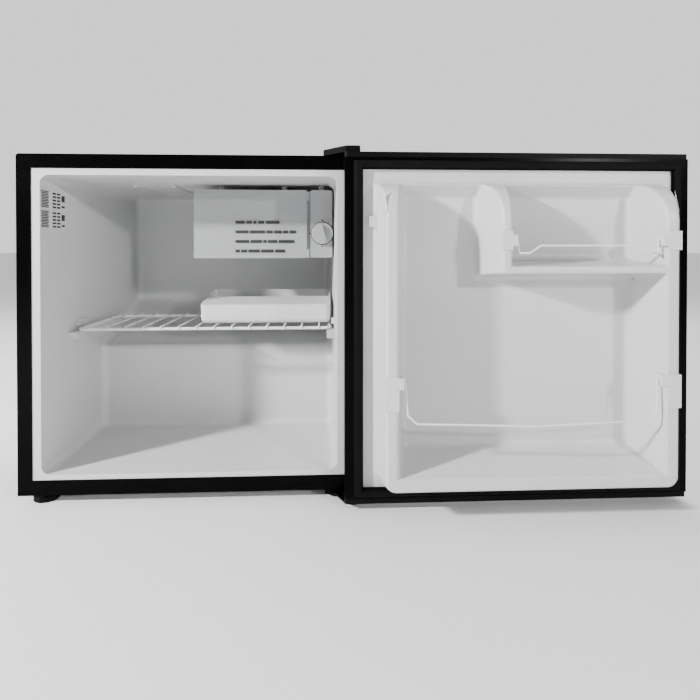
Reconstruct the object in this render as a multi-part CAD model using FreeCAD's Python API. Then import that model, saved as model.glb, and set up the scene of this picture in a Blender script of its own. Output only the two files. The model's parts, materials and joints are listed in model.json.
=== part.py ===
import FreeCAD, Part
import math
import os

# Compact refrigerator with its door open, in millimetres.
# +Z is up and -Y is the front. The origin is on the floor, under the middle of the cabinet.
# The door is modelled shut, with its inner face towards +Y, and then swung open about its hinge pins.

V = FreeCAD.Vector
X_AXIS, Y_AXIS, Z_AXIS = V(1, 0, 0), V(0, 1, 0), V(0, 0, 1)

# Cabinet
WIDTH = 472.0
CABINET_TOP = 484.0
BODY_DEPTH = 386.0
FRONT_Y = -200.0
FOOT_HEIGHT = 12.0
SHEET = 0.8
FRAME_WIDTH = 20.0
RAIL_FOLD = 10.0
TOP_EDGE_RADIUS = 4.0
HALF = WIDTH / 2
BASE_Z = FOOT_HEIGHT
REAR_PANEL_Y = FRONT_Y + BODY_DEPTH

# Food compartment: what is left inside the insulated walls, with a step over the machine bay
SIDE_WALL, TOP_WALL, BACK_WALL = 31.5, 29.0, 34.0
LINER = 1.6
OPENING_BOTTOM = 40.0
SIDE_DRAFT = 9.6
FLOOR_RISE = 7.5
CORNER_RADIUS = 12.0
FLANGE_OVERLAP = 6.0
STEP_TOP_FRONT = 181.0
STEP_TOP_BACK = 247.0
STEP_DEPTH = 194.0
OPENING_HALF = HALF - SIDE_WALL
OPENING_TOP = CABINET_TOP - TOP_WALL
INSIDE_DEPTH = BODY_DEPTH - BACK_WALL
INSIDE_BACK_Y = FRONT_Y + INSIDE_DEPTH
STEP_FACE_Y = REAR_PANEL_Y - STEP_DEPTH
STEP_SLOPE = (STEP_TOP_BACK - STEP_TOP_FRONT) / (INSIDE_BACK_Y - STEP_FACE_Y)

# Machine bay behind the step
STEP_WALL = 37.0
BAY_FACE_Y = STEP_FACE_Y + STEP_WALL
BAY_ROOF_FRONT = STEP_TOP_FRONT - 31.0
BAY_ROOF_BACK = STEP_TOP_BACK - 32.0
TRAY_PLATE = 2.0

# Door
DOOR_THICKNESS = 35.0
GASKET_GAP = 8.5
GASKET_CLEARANCE = 0.3
GASKET_WIDTH = 12.5
DOOR_BOTTOM = 10.5
DOOR_TOP = CABINET_TOP - 1.0
CAP_HEIGHT = 7.0
DOOR_SKIN = 0.7
DOOR_LINER = 1.4
FLANGE_INSET = 24.7
FLANGE_HALF = HALF - FLANGE_INSET
FLANGE_TOP = DOOR_TOP - 24.0
FLANGE_BOTTOM = DOOR_BOTTOM + 23.0
RIM_TUCK = 1.0
PANEL_RADIUS = 4.0
OPEN_ANGLE = 180.0
PIN_INSET = 11.25
SWING_GAP = 5.5
PIN_FORWARD = (DOOR_THICKNESS + GASKET_GAP + SWING_GAP) / 2
PIN_RADIUS = 3.5
RUNNING = 0.05
BUSH_WALL = 2.5
BUSH_RADIUS = PIN_RADIUS + BUSH_WALL
BUSH_LENGTH = 14.0
GRIP_HALF = HALF - 66.0
GRIP_RADIUS = 11.0
GRIP_DROP = 26.0
GRIP_DEPTH = 20.0
MAGNET_INSET = 4.0
MAGNET_WIDTH = 5.0
MAGNET_THICKNESS = 2.2
PIN_X = HALF - PIN_INSET
PIN_Y = FRONT_Y - PIN_FORWARD
LINER_Y = FRONT_Y - GASKET_GAP
DOOR_FACE_Y = LINER_Y - DOOR_THICKNESS

# Door liner: a raised frame of posts around a recess, with a rack at the upper free side
POST_HEIGHT = 56.0
POST_TAPER = 9.1
POST_WIDTH = 15.9
RECESS_DEPTH = 10.0
RECESS_TAPER = 14.3
POST_BASE_HALF = OPENING_HALF - 8.7
POST_FRONT_HALF = POST_BASE_HALF - POST_TAPER
RECESS_FRONT_HALF = POST_FRONT_HALF - POST_WIDTH
RECESS_BACK_HALF = RECESS_FRONT_HALF - RECESS_TAPER
POST_FRONT_Y = LINER_Y + POST_HEIGHT
RECESS_Y = LINER_Y - RECESS_DEPTH
RAISED_BOTTOM, RAISED_BOTTOM_FRONT = FLANGE_BOTTOM + 7.5, FLANGE_BOTTOM + 16.5
RAISED_TOP = FLANGE_TOP - 19.0
RECESS_TOP = RAISED_TOP - 7.0
RECESS_TOP_BACK = RECESS_TOP - 10.3
CURVE_START = RAISED_TOP - 52.0
BIN_FLOOR_FRONT, BIN_FLOOR_BACK = FLANGE_BOTTOM + 32.9, FLANGE_BOTTOM + 50.2
RACK_TOP_FRONT, RACK_TOP_BACK = RAISED_TOP - 109.0, RAISED_TOP - 102.0
RACK_THICKNESS = 8.2
RACK_LENGTH = 199.1
MIDPOST_WIDTH = 12.0
MIDPOST_SPREAD = 16.0
MIDPOST_RIGHT = RACK_LENGTH - RECESS_FRONT_HALF
MIDPOST_LEFT = MIDPOST_RIGHT + MIDPOST_WIDTH

# Rack wires
WIRE_RADIUS = 1.3
UPPER_PIVOT_Z = RACK_TOP_FRONT + 33.0
LOWER_PIVOT_Z = BIN_FLOOR_FRONT + 119.6
PIVOT_SET_BACK = 6.0
WIRE_PIVOT_Y = POST_FRONT_Y - PIVOT_SET_BACK
BOSS_LENGTH = 6.0
CLIP_WALL = 1.6
WIRE_END_GAP = 2.2
WALL_GAP = 0.3

# Freezer and thermostat
FREEZER_FRONT_Y = -100.0
FREEZER_BACK_Y = INSIDE_BACK_Y - 14.0
FREEZER_SHEET = 1.2
HOUSING_RIGHT = OPENING_HALF - 5.5
HOUSING_LEFT = HOUSING_RIGHT - 35.0
FLAP_RIGHT = HOUSING_LEFT - 5.6
FLAP_LEFT = FLAP_RIGHT - 178.4
FLAP_TOP = OPENING_TOP - 9.0
FLAP_BOTTOM = FLAP_TOP - 108.5
FLAP_THICKNESS = 3.0
FLAP_GAP = 1.4
FLAP_PIN_INSET = 2.4
FLAP_PIN_RADIUS = 1.5
FLAP_PIN_X = FLAP_RIGHT + FLAP_PIN_INSET
HOUSING_TOP = FLAP_TOP
HOUSING_BOTTOM = HOUSING_TOP - 107.6
HOUSING_DEPTH = 62.0
HOUSING_WALL = 2.0
KNOB_X, KNOB_Z = HOUSING_RIGHT - 16.0, HOUSING_BOTTOM + 38.6
KNOB_RADIUS = 17.0
KNOB_DISC = 9.0
KNOB_GRIP = 7.0
KNOB_TURN = 15.0
KNOB_GAP = 0.8
SHAFT_RADIUS = 3.0

# Shelf and tray
SHELF_FRONT_Y = -116.0
SHELF_DEPTH = INSIDE_DEPTH - 196.0
SHELF_Z = FLAP_BOTTOM - 109.0
SHELF_HALF = OPENING_HALF - 11.0
SHELF_SHIFT = 1.5
ROD_RADIUS = 2.4
CROSS_RADIUS = 1.4
CROSS_COUNT = 14
CROSS_PITCH = 2 * SHELF_HALF / 14.28
CROSS_SINK = 0.4
RUNNER_REACH = 12.0
RUNNER_GAP = 0.4
TRAY_RIGHT = OPENING_HALF - 8.5
TRAY_LEFT = TRAY_RIGHT - 207.0
TRAY_FRONT_Y = SHELF_FRONT_Y + 16.4
TRAY_DEPTH = SHELF_DEPTH - 49.0
TRAY_FRONT_HEIGHT, TRAY_BACK_HEIGHT = 30.0, 46.0
TRAY_WALL = 2.0

# Feet
FOOT_RADIUS = 17.0
FOOT_DISC = 8.0
FOOT_X, FOOT_FRONT_Y, FOOT_REAR_Y = HALF - 30.0, FRONT_Y + 19.0, REAR_PANEL_Y - 21.0
STEM_RADIUS = 4.0
STEM_LENGTH = 22.0
PEG_RADIUS = 3.0

# Machinery
COMPRESSOR_X, COMPRESSOR_Y = 60.0, REAR_PANEL_Y - 74.0
COMPRESSOR_RADIUS = 56.0
COMPRESSOR_HEIGHT = 118.0
COMPRESSOR_BASE = BASE_Z + TRAY_PLATE + 10.0
STUB_RADIUS = 3.6
BOLT_RADIUS = 3.0
BOLT_HOLE = 3.3
TUBE_RADIUS = 2.4
SUCTION_RADIUS = 3.2
DRIER_RADIUS, DRIER_LENGTH = 9.0, 70.0
COIL_Y = REAR_PANEL_Y + 6.5
COIL_ROWS = 6
COIL_PITCH = 40.0
COIL_HALF = HALF - 50.0
COIL_BOTTOM = 240.0
COIL_LEAD = 30.0
COIL_WIRES = 23
COIL_WIRE_RADIUS = 0.9
COIL_WIRE_PITCH = 2 * COIL_HALF / 24
BRACKET_X = 9.5 * COIL_WIRE_PITCH
BRACKET_HALF = 6.0
GLAND_X, GLAND_BORE = -130.0, 4.0

# Hinges
HINGE_PLATE = 2.5
HINGE_LEFT = HALF - 49.0
HINGE_RIGHT = HALF - 3.0
HINGE_BACK_Y = FRONT_Y + 50.0
HINGE_FRONT_Y = PIN_Y - 7.5
COVER_HEIGHT = 9.0
COVER_WALL = 1.6
SCREW_RADIUS = 2.5
SCREW_HOLE = 2.6
SCREW_HEAD = 4.6
ANCHOR_RADIUS = 4.2
ANCHOR_LENGTH = 14.0
WASHER = 1.2
EPS = 0.01


def box(x0, x1, y0, y1, z0, z1):
    return Part.makeBox(x1 - x0, y1 - y0, z1 - z0, V(x0, y0, z0))


def cylinder(centre, radius, length, axis=Z_AXIS):
    return Part.makeCylinder(radius, length, centre, axis)


def prism_x(points, x0, x1):
    """Extrude a polygon of (y, z) points from x0 to x1."""
    wire = Part.makePolygon([V(x0, y, z) for y, z in points + points[:1]])
    return Part.Face(wire).extrude(V(x1 - x0, 0, 0))


def prism_z(points, z0, z1):
    """Extrude a polygon of (x, y) points from z0 to z1."""
    wire = Part.makePolygon([V(x, y, z0) for x, y in points + points[:1]])
    return Part.Face(wire).extrude(V(0, 0, z1 - z0))


def frustum_y(y0, rect0, y1, rect1):
    """A drafted block between two rectangles (x0, x1, z0, z1), at y0 and y1."""
    ends = []
    for y, (x0, x1, z0, z1) in ((y0, rect0), (y1, rect1)):
        ends.append([V(x0, y, z0), V(x1, y, z0), V(x1, y, z1), V(x0, y, z1)])
    near, far = ends
    loops = [near, far] + [[near[k], near[k - 1], far[k - 1], far[k]] for k in range(4)]
    faces = [Part.Face(Part.makePolygon(loop + loop[:1])) for loop in loops]
    block = Part.Solid(Part.Shell(faces))
    return block if block.Volume > 0 else block.reversed()


def fillet(shape, radius, pick):
    """Round the edges whose two ends and length pass the test pick(edge)."""
    edges = [edge for edge in shape.Edges if pick(edge)]
    return shape.makeFillet(radius, edges) if edges else shape


def along(edge, axis):
    direction = edge.Vertexes[-1].Point - edge.Vertexes[0].Point
    return direction.Length > EPS and abs(direction.normalize().dot(axis)) > 0.99


def rounded_box(x0, x1, y0, y1, z0, z1, radius, axis):
    """A box whose four edges along an axis are rounded."""
    block = box(x0, x1, y0, y1, z0, z1)
    return fillet(block, radius, lambda edge: along(edge, axis))


def tube_path(points, bend):
    """A wire of straight runs joined by tangent arcs of one bend radius."""
    points = [V(*p) for p in points]
    edges, start = [], points[0]
    for before, corner, after in zip(points, points[1:], points[2:]):
        back = (before - corner).normalize()
        ahead = (after - corner).normalize()
        half_angle = back.getAngle(ahead) / 2
        reach = bend / math.tan(half_angle)
        first, last = corner + back * reach, corner + ahead * reach
        bisector = (back + ahead).normalize()
        middle = corner + bisector * (bend / math.sin(half_angle) - bend)
        edges.append(Part.LineSegment(start, first).toShape())
        edges.append(Part.Arc(first, middle, last).toShape())
        start = last
    edges.append(Part.LineSegment(start, points[-1]).toShape())
    return Part.Wire(edges)


def tube(points, radius, bend):
    """A round rod swept along a bent path."""
    path = tube_path(points, bend)
    start = V(*points[0])
    direction = (V(*points[1]) - start).normalize()
    section = Part.Wire(Part.makeCircle(radius, start, direction))
    return path.makePipeShell([section], True, True)


def union(shapes):
    shapes = list(shapes)
    return shapes[0].multiFuse(shapes[1:]).removeSplitter() if len(shapes) > 1 else shapes[0]


def mirror_x(shape):
    return shape.mirror(V(0, 0, 0), X_AXIS)


def solids_of(shape):
    """One shape or a list, as a compound of separate solids."""
    shapes = shape if isinstance(shape, list) else [shape]
    return Part.makeCompound([solid for item in shapes for solid in item.Solids])


# ---------------------------------------------------------------- food compartment

def cavity(grow):
    """The air inside the food compartment, grown outwards by a wall thickness."""
    back = INSIDE_BACK_Y + grow
    front_rect = (-OPENING_HALF - grow, OPENING_HALF + grow, OPENING_BOTTOM - grow, OPENING_TOP + grow)
    back_half = OPENING_HALF - SIDE_DRAFT + grow
    back_rect = (-back_half, back_half, OPENING_BOTTOM + FLOOR_RISE - grow, OPENING_TOP + grow)
    room = frustum_y(FRONT_Y, front_rect, back, back_rect)
    face = STEP_FACE_Y + grow
    top = STEP_TOP_FRONT - grow / math.cos(math.atan(STEP_SLOPE)) + STEP_SLOPE * grow
    far = back + 40
    outline = [(face, -10), (far, -10), (far, top + STEP_SLOPE * (far - face)), (face, top)]
    room = room.cut(prism_x(outline, -HALF, HALF))
    sharp = lambda edge: min(v.Y for v in edge.Vertexes) > FRONT_Y + 1 or (
        max(v.Y for v in edge.Vertexes) - min(v.Y for v in edge.Vertexes) > 30
    )
    return fillet(room, CORNER_RADIUS + grow / 2, sharp)


def side_wall_x(y):
    """How far the inside wall stands from the middle, at a depth."""
    return OPENING_HALF - SIDE_DRAFT * (y - FRONT_Y) / INSIDE_DEPTH


def shelf_runner():
    """The ledge on the left wall that the shelf slides on, and the stop above it."""
    wall = -side_wall_x(SHELF_FRONT_Y) - LINER
    reach = -side_wall_x(SHELF_FRONT_Y) + RUNNER_REACH
    top = SHELF_Z - ROD_RADIUS - RUNNER_GAP
    front, back = SHELF_FRONT_Y - 12, SHELF_FRONT_Y + SHELF_DEPTH + 10
    ledge = prism_x([(front, top), (back, top), (back, top - 14), (front + 12, top - 14)], wall, reach)
    above = SHELF_Z + ROD_RADIUS + RUNNER_GAP + 1
    stop = prism_x([(front + 26, above), (front + 52, above), (front + 52, above + 9), (front + 32,
            above + 9)],
                   wall, reach - 7)
    return [ledge, stop]


def make_inner_liner():
    flange_y = FRONT_Y + SHEET
    reach = FRAME_WIDTH - FLANGE_OVERLAP
    flange = box(-HALF + reach, HALF - reach, flange_y, flange_y + LINER, BASE_Z + reach,
            CABINET_TOP - reach)
    inside, outside = cavity(0), cavity(LINER)
    keep = box(-HALF, HALF, flange_y, INSIDE_BACK_Y + 20, 0, CABINET_TOP)
    runners = shelf_runner()
    runners += [mirror_x(runner) for runner in runners]
    ridges = []
    for x, y0, y1 in ((FLAP_LEFT - 104, -60, FREEZER_BACK_Y - 42), (FLAP_LEFT - 40, -66,
            FREEZER_BACK_Y - 92)):
        ridge = cylinder(V(x, y0, OPENING_TOP + 1), 4, y1 - y0, Y_AXIS)
        ridges += [ridge, Part.makeSphere(4, V(x, y0, OPENING_TOP + 1))]
    ridges = [ridge.common(box(-HALF, HALF, FRONT_Y, INSIDE_BACK_Y, 0,
            OPENING_TOP + LINER)) for ridge in ridges]
    bumps = [runner.common(outside) for runner in runners]
    shell = flange.fuse(outside.common(keep)).cut(inside)
    return shell.multiFuse(bumps + ridges).removeSplitter()


def bay_outline(offset):
    """The machine bay's front wall and roof in (y, z), moved inwards by an offset."""
    slope = (BAY_ROOF_BACK - BAY_ROOF_FRONT) / (REAR_PANEL_Y - BAY_FACE_Y)
    drop = offset / math.cos(math.atan(slope))
    face = BAY_FACE_Y + offset
    roof = lambda y: BAY_ROOF_FRONT + slope * (y - BAY_FACE_Y) - drop
    return face, roof


def bay_block(offset, low, high_y):
    face, roof = bay_outline(offset)
    return prism_x([(face, low), (high_y, low), (high_y, roof(high_y)), (face, roof(face))],
                   -HALF - 1, HALF + 1)


def is_top_long_edge(edge):
    return along(edge, Y_AXIS) and edge.Vertexes[0].Z > CABINET_TOP - 2


def make_cabinet_foam():
    inner_half = HALF - SHEET
    front = FRONT_Y + SHEET + LINER
    block = box(-inner_half, inner_half, front, REAR_PANEL_Y - SHEET, BASE_Z + SHEET, CABINET_TOP - SHEET)
    block = fillet(block, TOP_EDGE_RADIUS - SHEET, is_top_long_edge)
    block = block.cut(cavity(LINER)).cut(bay_block(0, 0, REAR_PANEL_Y + 10))
    for x in (-FOOT_X, FOOT_X):
        block = block.cut(insert_blank(x))
    return block.cut(hinge_nut_blank())


# ---------------------------------------------------------------- cabinet shell

def make_outer_wrap():
    """Top and both sides in one folded sheet, with front returns and rear stiffening folds."""
    outer = box(-HALF, HALF, FRONT_Y, REAR_PANEL_Y, BASE_Z, CABINET_TOP)
    outer = fillet(outer, TOP_EDGE_RADIUS, is_top_long_edge)
    inner = box(-HALF + SHEET, HALF - SHEET, FRONT_Y + SHEET, REAR_PANEL_Y + 1, 0, CABINET_TOP - SHEET)
    inner = fillet(inner, TOP_EDGE_RADIUS - SHEET, is_top_long_edge)
    mouth = box(-HALF + FRAME_WIDTH, HALF - FRAME_WIDTH, FRONT_Y - 1, FRONT_Y + 2, 0,
            CABINET_TOP - FRAME_WIDTH)
    wrap = outer.cut(inner).cut(mouth)
    for x, y in top_screw_spots():
        wrap = wrap.cut(cylinder(V(x, y, CABINET_TOP - 5), SCREW_HOLE, 10))
    return wrap


def make_front_rail():
    """The bottom bar of the front frame, folded back under the cabinet."""
    half = HALF - FRAME_WIDTH
    top = BASE_Z + FRAME_WIDTH + 1
    upright = box(-half, half, FRONT_Y, FRONT_Y + SHEET, BASE_Z, top)
    return upright.fuse(box(-half, half, FRONT_Y, FRONT_Y + RAIL_FOLD, BASE_Z,
            BASE_Z + SHEET)).removeSplitter()


def make_base_panel():
    half = HALF - SHEET
    panel = box(-half, half, FRONT_Y + RAIL_FOLD, BAY_FACE_Y, BASE_Z, BASE_Z + SHEET)
    for x in (-FOOT_X, FOOT_X):
        panel = panel.cut(cylinder(V(x, FOOT_FRONT_Y, 0), STEM_RADIUS + 1, 40))
    return panel


def make_rear_panel():
    half = HALF - SHEET
    _, roof = bay_outline(0)
    panel = box(-half, half, REAR_PANEL_Y - SHEET, REAR_PANEL_Y, roof(REAR_PANEL_Y) - SHEET,
            CABINET_TOP - SHEET)
    panel = fillet(panel, TOP_EDGE_RADIUS - SHEET, is_top_long_edge)
    ribs = [box(-half + 24, half - 24, REAR_PANEL_Y, REAR_PANEL_Y + 1.2, z, z + 8)
            for z in (BAY_ROOF_BACK + 8, CABINET_TOP - 20)]
    return union([panel] + ribs)


def make_bay_panel():
    """Folded sheet that walls the machine bay off from the foam."""
    face, roof = bay_outline(0)
    inner_face, inner_roof = bay_outline(SHEET)
    end = REAR_PANEL_Y - SHEET
    outline = [(face, BASE_Z + TRAY_PLATE), (face, roof(face)), (end, roof(end)), (end, inner_roof(end)),
               (inner_face, inner_roof(inner_face)), (inner_face, BASE_Z + TRAY_PLATE)]
    return prism_x(outline, -HALF + SHEET, HALF - SHEET)


def make_compressor_tray():
    """Pressed steel plate under the machine bay, with turned-up front and rear lips."""
    half = HALF - SHEET
    plate = box(-half, half, BAY_FACE_Y, REAR_PANEL_Y, BASE_Z, BASE_Z + TRAY_PLATE)
    lip = box(-half, half, REAR_PANEL_Y - TRAY_PLATE, REAR_PANEL_Y, BASE_Z, BASE_Z + 20)
    ear = rounded_box(GLAND_X - 20, GLAND_X + 20, REAR_PANEL_Y - TRAY_PLATE, REAR_PANEL_Y, BASE_Z,
            BASE_Z + 44, 6, Y_AXIS)
    tray = union([plate, lip, ear])
    tray = tray.cut(cylinder(gland_centre(), GLAND_BORE + 2.5, 40, Y_AXIS))
    for x, y in compressor_corners():
        tray = tray.cut(cylinder(V(x, y, 0), BOLT_HOLE, 30))
    for x in (-FOOT_X, FOOT_X):
        tray = tray.cut(cylinder(V(x, FOOT_REAR_Y, 0), PEG_RADIUS, 30))
    return tray


def gland_centre():
    return V(GLAND_X, REAR_PANEL_Y - 20, BASE_Z + 30)


def make_cord_gland():
    """A bush with a flange each side of the tray's ear."""
    y = REAR_PANEL_Y - TRAY_PLATE
    centre = gland_centre()
    body = cylinder(V(centre.x, y - 6, centre.z), GLAND_BORE + 2.5, 14, Y_AXIS)
    inner = cylinder(V(centre.x, y - 3, centre.z), GLAND_BORE + 5, 3, Y_AXIS)
    outer = cylinder(V(centre.x, y + TRAY_PLATE, centre.z), GLAND_BORE + 5, 3, Y_AXIS)
    return union([body, inner, outer]).cut(cylinder(V(centre.x, y - 10, centre.z), GLAND_BORE, 30, Y_AXIS))


# ---------------------------------------------------------------- feet

def insert_blank(x):
    return cylinder(V(x, FOOT_FRONT_Y, 0), STEM_RADIUS + 3, BASE_Z + SHEET + STEM_LENGTH + 2)


def make_foot_inserts():
    """Two threaded inserts in the foam, which the front feet screw into."""
    inserts = []
    for x in (-FOOT_X, FOOT_X):
        blank = insert_blank(x).cut(box(-HALF, HALF, FRONT_Y - 9, 0, -1, BASE_Z + SHEET))
        inserts.append(blank.cut(cylinder(V(x, FOOT_FRONT_Y, 0), STEM_RADIUS + RUNNING,
                BASE_Z + STEM_LENGTH)))
    return inserts


def levelling_foot(x):
    """A grooved disc on a threaded stem."""
    disc = cylinder(V(x, FOOT_FRONT_Y, 0), FOOT_RADIUS, FOOT_DISC)
    disc = fillet(disc, 2, lambda edge: edge.Length > 2 * FOOT_RADIUS)
    for turn in range(12):
        angle = math.radians(30 * turn)
        centre = V(x + 18.6 * math.cos(angle), FOOT_FRONT_Y + 18.6 * math.sin(angle), -1)
        disc = disc.cut(cylinder(centre, 2.6, FOOT_DISC + 2))
    return disc.fuse(cylinder(V(x, FOOT_FRONT_Y, FOOT_DISC - 1), STEM_RADIUS, STEM_LENGTH)).removeSplitter()


def make_rear_feet():
    """Two moulded pads under the machine bay, each with a peg up through the plate."""
    feet = []
    for x in (-FOOT_X, FOOT_X):
        pad = fillet(cylinder(V(x, FOOT_REAR_Y, 0), FOOT_RADIUS, BASE_Z), 2, lambda edge: edge.Length > 90)
        feet.append(pad.fuse(cylinder(V(x, FOOT_REAR_Y, BASE_Z - 1), PEG_RADIUS, 8)).removeSplitter())
    return feet


# ---------------------------------------------------------------- machinery

def compressor_corners():
    return [(COMPRESSOR_X + sx * 56, COMPRESSOR_Y + sy * 44) for sx in (-1, 1) for sy in (-1, 1)]


def can_blank():
    """The compressor's two welded shells, turned about a vertical axis."""
    base = COMPRESSOR_BASE
    centre = V(COMPRESSOR_X, COMPRESSOR_Y, base + 3)
    lower = fillet(cylinder(centre, COMPRESSOR_RADIUS - 2, COMPRESSOR_HEIGHT), 22,
            lambda edge: edge.Length > 100 and (
        edge.BoundBox.ZLength < 1))
    seam = cylinder(centre + V(0, 0, 52), COMPRESSOR_RADIUS, 7)
    return union([lower, seam])


def make_compressor():
    base = COMPRESSOR_BASE
    reach_x, reach_y = 70, 58
    feet = rounded_box(COMPRESSOR_X - reach_x, COMPRESSOR_X + reach_x, COMPRESSOR_Y - reach_y,
                       COMPRESSOR_Y + reach_y, base, base + 3, 16, Z_AXIS)
    for x, y in compressor_corners():
        feet = feet.cut(cylinder(V(x, y, 0), 5, 60))
    pedestal = cylinder(V(COMPRESSOR_X, COMPRESSOR_Y, base), 30, 12)
    stubs = [cylinder(V(COMPRESSOR_X - 40, COMPRESSOR_Y, base + 100), STUB_RADIUS, 40, V(-1, 0, 0)),
             cylinder(V(COMPRESSOR_X - 40, COMPRESSOR_Y + 18, base + 40), STUB_RADIUS, 36, V(-1, 0, 0))]
    return union([can_blank(), feet, pedestal] + stubs)


def make_grommets():
    grommets = []
    for x, y in compressor_corners():
        low = BASE_Z + TRAY_PLATE
        height = COMPRESSOR_BASE - low
        body = cylinder(V(x, y, low), 9, height)
        neck = cylinder(V(x, y, low), 5, height + 5)
        collar = cylinder(V(x, y, low + height + 3), 7, 2)
        grommets.append(union([body, neck, collar]).cut(cylinder(V(x, y, 0), BOLT_HOLE, 60)))
    return grommets


def make_compressor_bolts():
    bolts = []
    for x, y in compressor_corners():
        top = COMPRESSOR_BASE + 5
        shank = cylinder(V(x, y, BASE_Z - 3), BOLT_RADIUS, top + 3 - BASE_Z)
        head = prism_z([(x + 5.8 * math.cos(math.radians(60 * k)), y + 5.8 * math.sin(math.radians(60 * k)))
                        for k in range(6)], top, top + 4)
        washer = cylinder(V(x, y, BASE_Z - 4), 6, 4)
        bolts.append(union([shank, head, washer]))
    return bolts


def make_start_relay():
    base = COMPRESSOR_BASE
    x = COMPRESSOR_X + COMPRESSOR_RADIUS
    cover = rounded_box(x - 20, x + 26, COMPRESSOR_Y - 26, COMPRESSOR_Y + 26, base + 28, base + 88, 6,
            X_AXIS)
    return cover.cut(can_blank())


def filter_drier_end():
    return V(COMPRESSOR_X - 160, COMPRESSOR_Y + 40, BASE_Z + 66)


def make_filter_drier():
    centre = filter_drier_end() + V(10, 0, 0)
    body = cylinder(centre, DRIER_RADIUS, DRIER_LENGTH, X_AXIS)
    left = Part.makeCone(DRIER_RADIUS, SUCTION_RADIUS, 10, centre, V(-1, 0, 0))
    right = Part.makeCone(DRIER_RADIUS, SUCTION_RADIUS, 10, centre + V(DRIER_LENGTH, 0, 0), X_AXIS)
    return union([body, left, right])


def make_discharge_line():
    """From the compressor, round the bay and up to the condenser's lower end."""
    z = COMPRESSOR_BASE + 40
    x, y = COMPRESSOR_X - 76, COMPRESSOR_Y + 18
    points = [(x, y, z), (x - 34, y, z), (x - 34, COIL_Y, z), (-COIL_HALF, COIL_Y, z),
              (-COIL_HALF, COIL_Y, COIL_BOTTOM - COIL_LEAD)]
    return tube(points, TUBE_RADIUS, 14)


def make_drier_line():
    """From the condenser's upper end down beside it and into the filter drier."""
    drier = filter_drier_end()
    x = -COIL_HALF - 19
    top = coil_rows()[-1]
    return tube([(-COIL_HALF, COIL_Y, top), (x, COIL_Y, top), (x, COIL_Y, drier.z), (x, drier.y, drier.z),
                 (drier.x, drier.y, drier.z)], TUBE_RADIUS, 12)


def make_suction_line():
    """From the bay roof down to the compressor's upper stub."""
    z = COMPRESSOR_BASE + 100
    x, y = COMPRESSOR_X - 80, COMPRESSOR_Y
    _, roof = bay_outline(SHEET)
    return tube([(x, y, z), (x - 40, y, z), (x - 40, y, roof(y) - 4)], SUCTION_RADIUS, 14)


def coil_rows():
    return [COIL_BOTTOM + row * COIL_PITCH for row in range(COIL_ROWS)]


def make_condenser_coil():
    """One serpentine tube, whose free start meets the discharge line."""
    points, side = [(-COIL_HALF, COIL_Y, COIL_BOTTOM - COIL_LEAD)], -1
    for z in coil_rows():
        points += [(side * COIL_HALF, COIL_Y, z), (-side * COIL_HALF, COIL_Y, z)]
        side = -side
    return tube(points, TUBE_RADIUS, 14)


def make_condenser_wires():
    y = COIL_Y + TUBE_RADIUS + COIL_WIRE_RADIUS
    low, high = COIL_BOTTOM - 12, coil_rows()[-1] + 12
    first = -COIL_WIRE_PITCH * (COIL_WIRES - 1) / 2
    return [cylinder(V(first + n * COIL_WIRE_PITCH, y, low), COIL_WIRE_RADIUS,
            high - low) for n in range(COIL_WIRES)]


def make_condenser_brackets():
    brackets = []
    for x in (-BRACKET_X, BRACKET_X):
        for z in (coil_rows()[0], coil_rows()[-1]):
            block = box(x - BRACKET_HALF, x + BRACKET_HALF, REAR_PANEL_Y, COIL_Y + 1.2, z - 5, z + 5)
            brackets.append(block.cut(cylinder(V(x - 10, COIL_Y, z), TUBE_RADIUS, 20, X_AXIS)))
    return brackets


# ---------------------------------------------------------------- freezer and thermostat

def freezer_bounds():
    return FLAP_LEFT + 3, FLAP_RIGHT - 5, FLAP_BOTTOM + 4, FLAP_TOP - 4


def make_evaporator_box():
    """A folded aluminium box, open at the front, with its cooling channel pressed out of the top."""
    left, right, low, high = freezer_bounds()
    front = FREEZER_FRONT_Y + FLAP_THICKNESS + FLAP_GAP + FREEZER_SHEET
    outer = rounded_box(left, right, front, FREEZER_BACK_Y, low, high, 8, Y_AXIS)
    inner = rounded_box(left + FREEZER_SHEET, right - FREEZER_SHEET, front - 1,
            FREEZER_BACK_Y - FREEZER_SHEET,
                        low + FREEZER_SHEET, high - FREEZER_SHEET, 8 - FREEZER_SHEET, Y_AXIS)
    rows = [left + 20 + 27 * row for row in range(6)]
    channels = [cylinder(V(x, front + 12, high), 3, FREEZER_BACK_Y - front - 24, Y_AXIS) for x in rows]
    return union([outer] + channels).cut(inner)


def make_freezer_frame():
    """Moulded rim around the freezer's mouth, with the two ears that carry the flap's pins."""
    left, right, low, high = freezer_bounds()
    y0 = FREEZER_FRONT_Y + FLAP_THICKNESS + FLAP_GAP
    y1 = y0 + FREEZER_SHEET
    rim = box(left - 2, right + 2, y0, y1, low - 2, high + 2)
    rim = rim.cut(box(left + 5, right - 5, y0 - 1, y1 + 1, low + 5, high - 5))
    edge = FLAP_PIN_X + 2
    tongue = box(right + 2, edge, y0 + 0.2, y1, low - 2, high + 2)
    ears = []
    for z0, z1 in flap_knuckle_heights():
        for low_z, high_z in ((z0 - 3.2, z0 - 0.2), (z1 + 0.2, z1 + 3.2)):
            ears.append(box(FLAP_PIN_X - 1.6, edge, FREEZER_FRONT_Y - 0.1, y1, low_z, high_z))
        pin = cylinder(V(FLAP_PIN_X, FREEZER_FRONT_Y + FLAP_THICKNESS / 2, z0 - 3.2), FLAP_PIN_RADIUS,
                z1 - z0 + 6.4)
        ears.append(pin)
    return union([rim, tongue] + ears)


def flap_knuckle_heights():
    return [(FLAP_BOTTOM + 3.5, FLAP_BOTTOM + 11.5), (FLAP_TOP - 13.5, FLAP_TOP - 5.5)]


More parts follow.
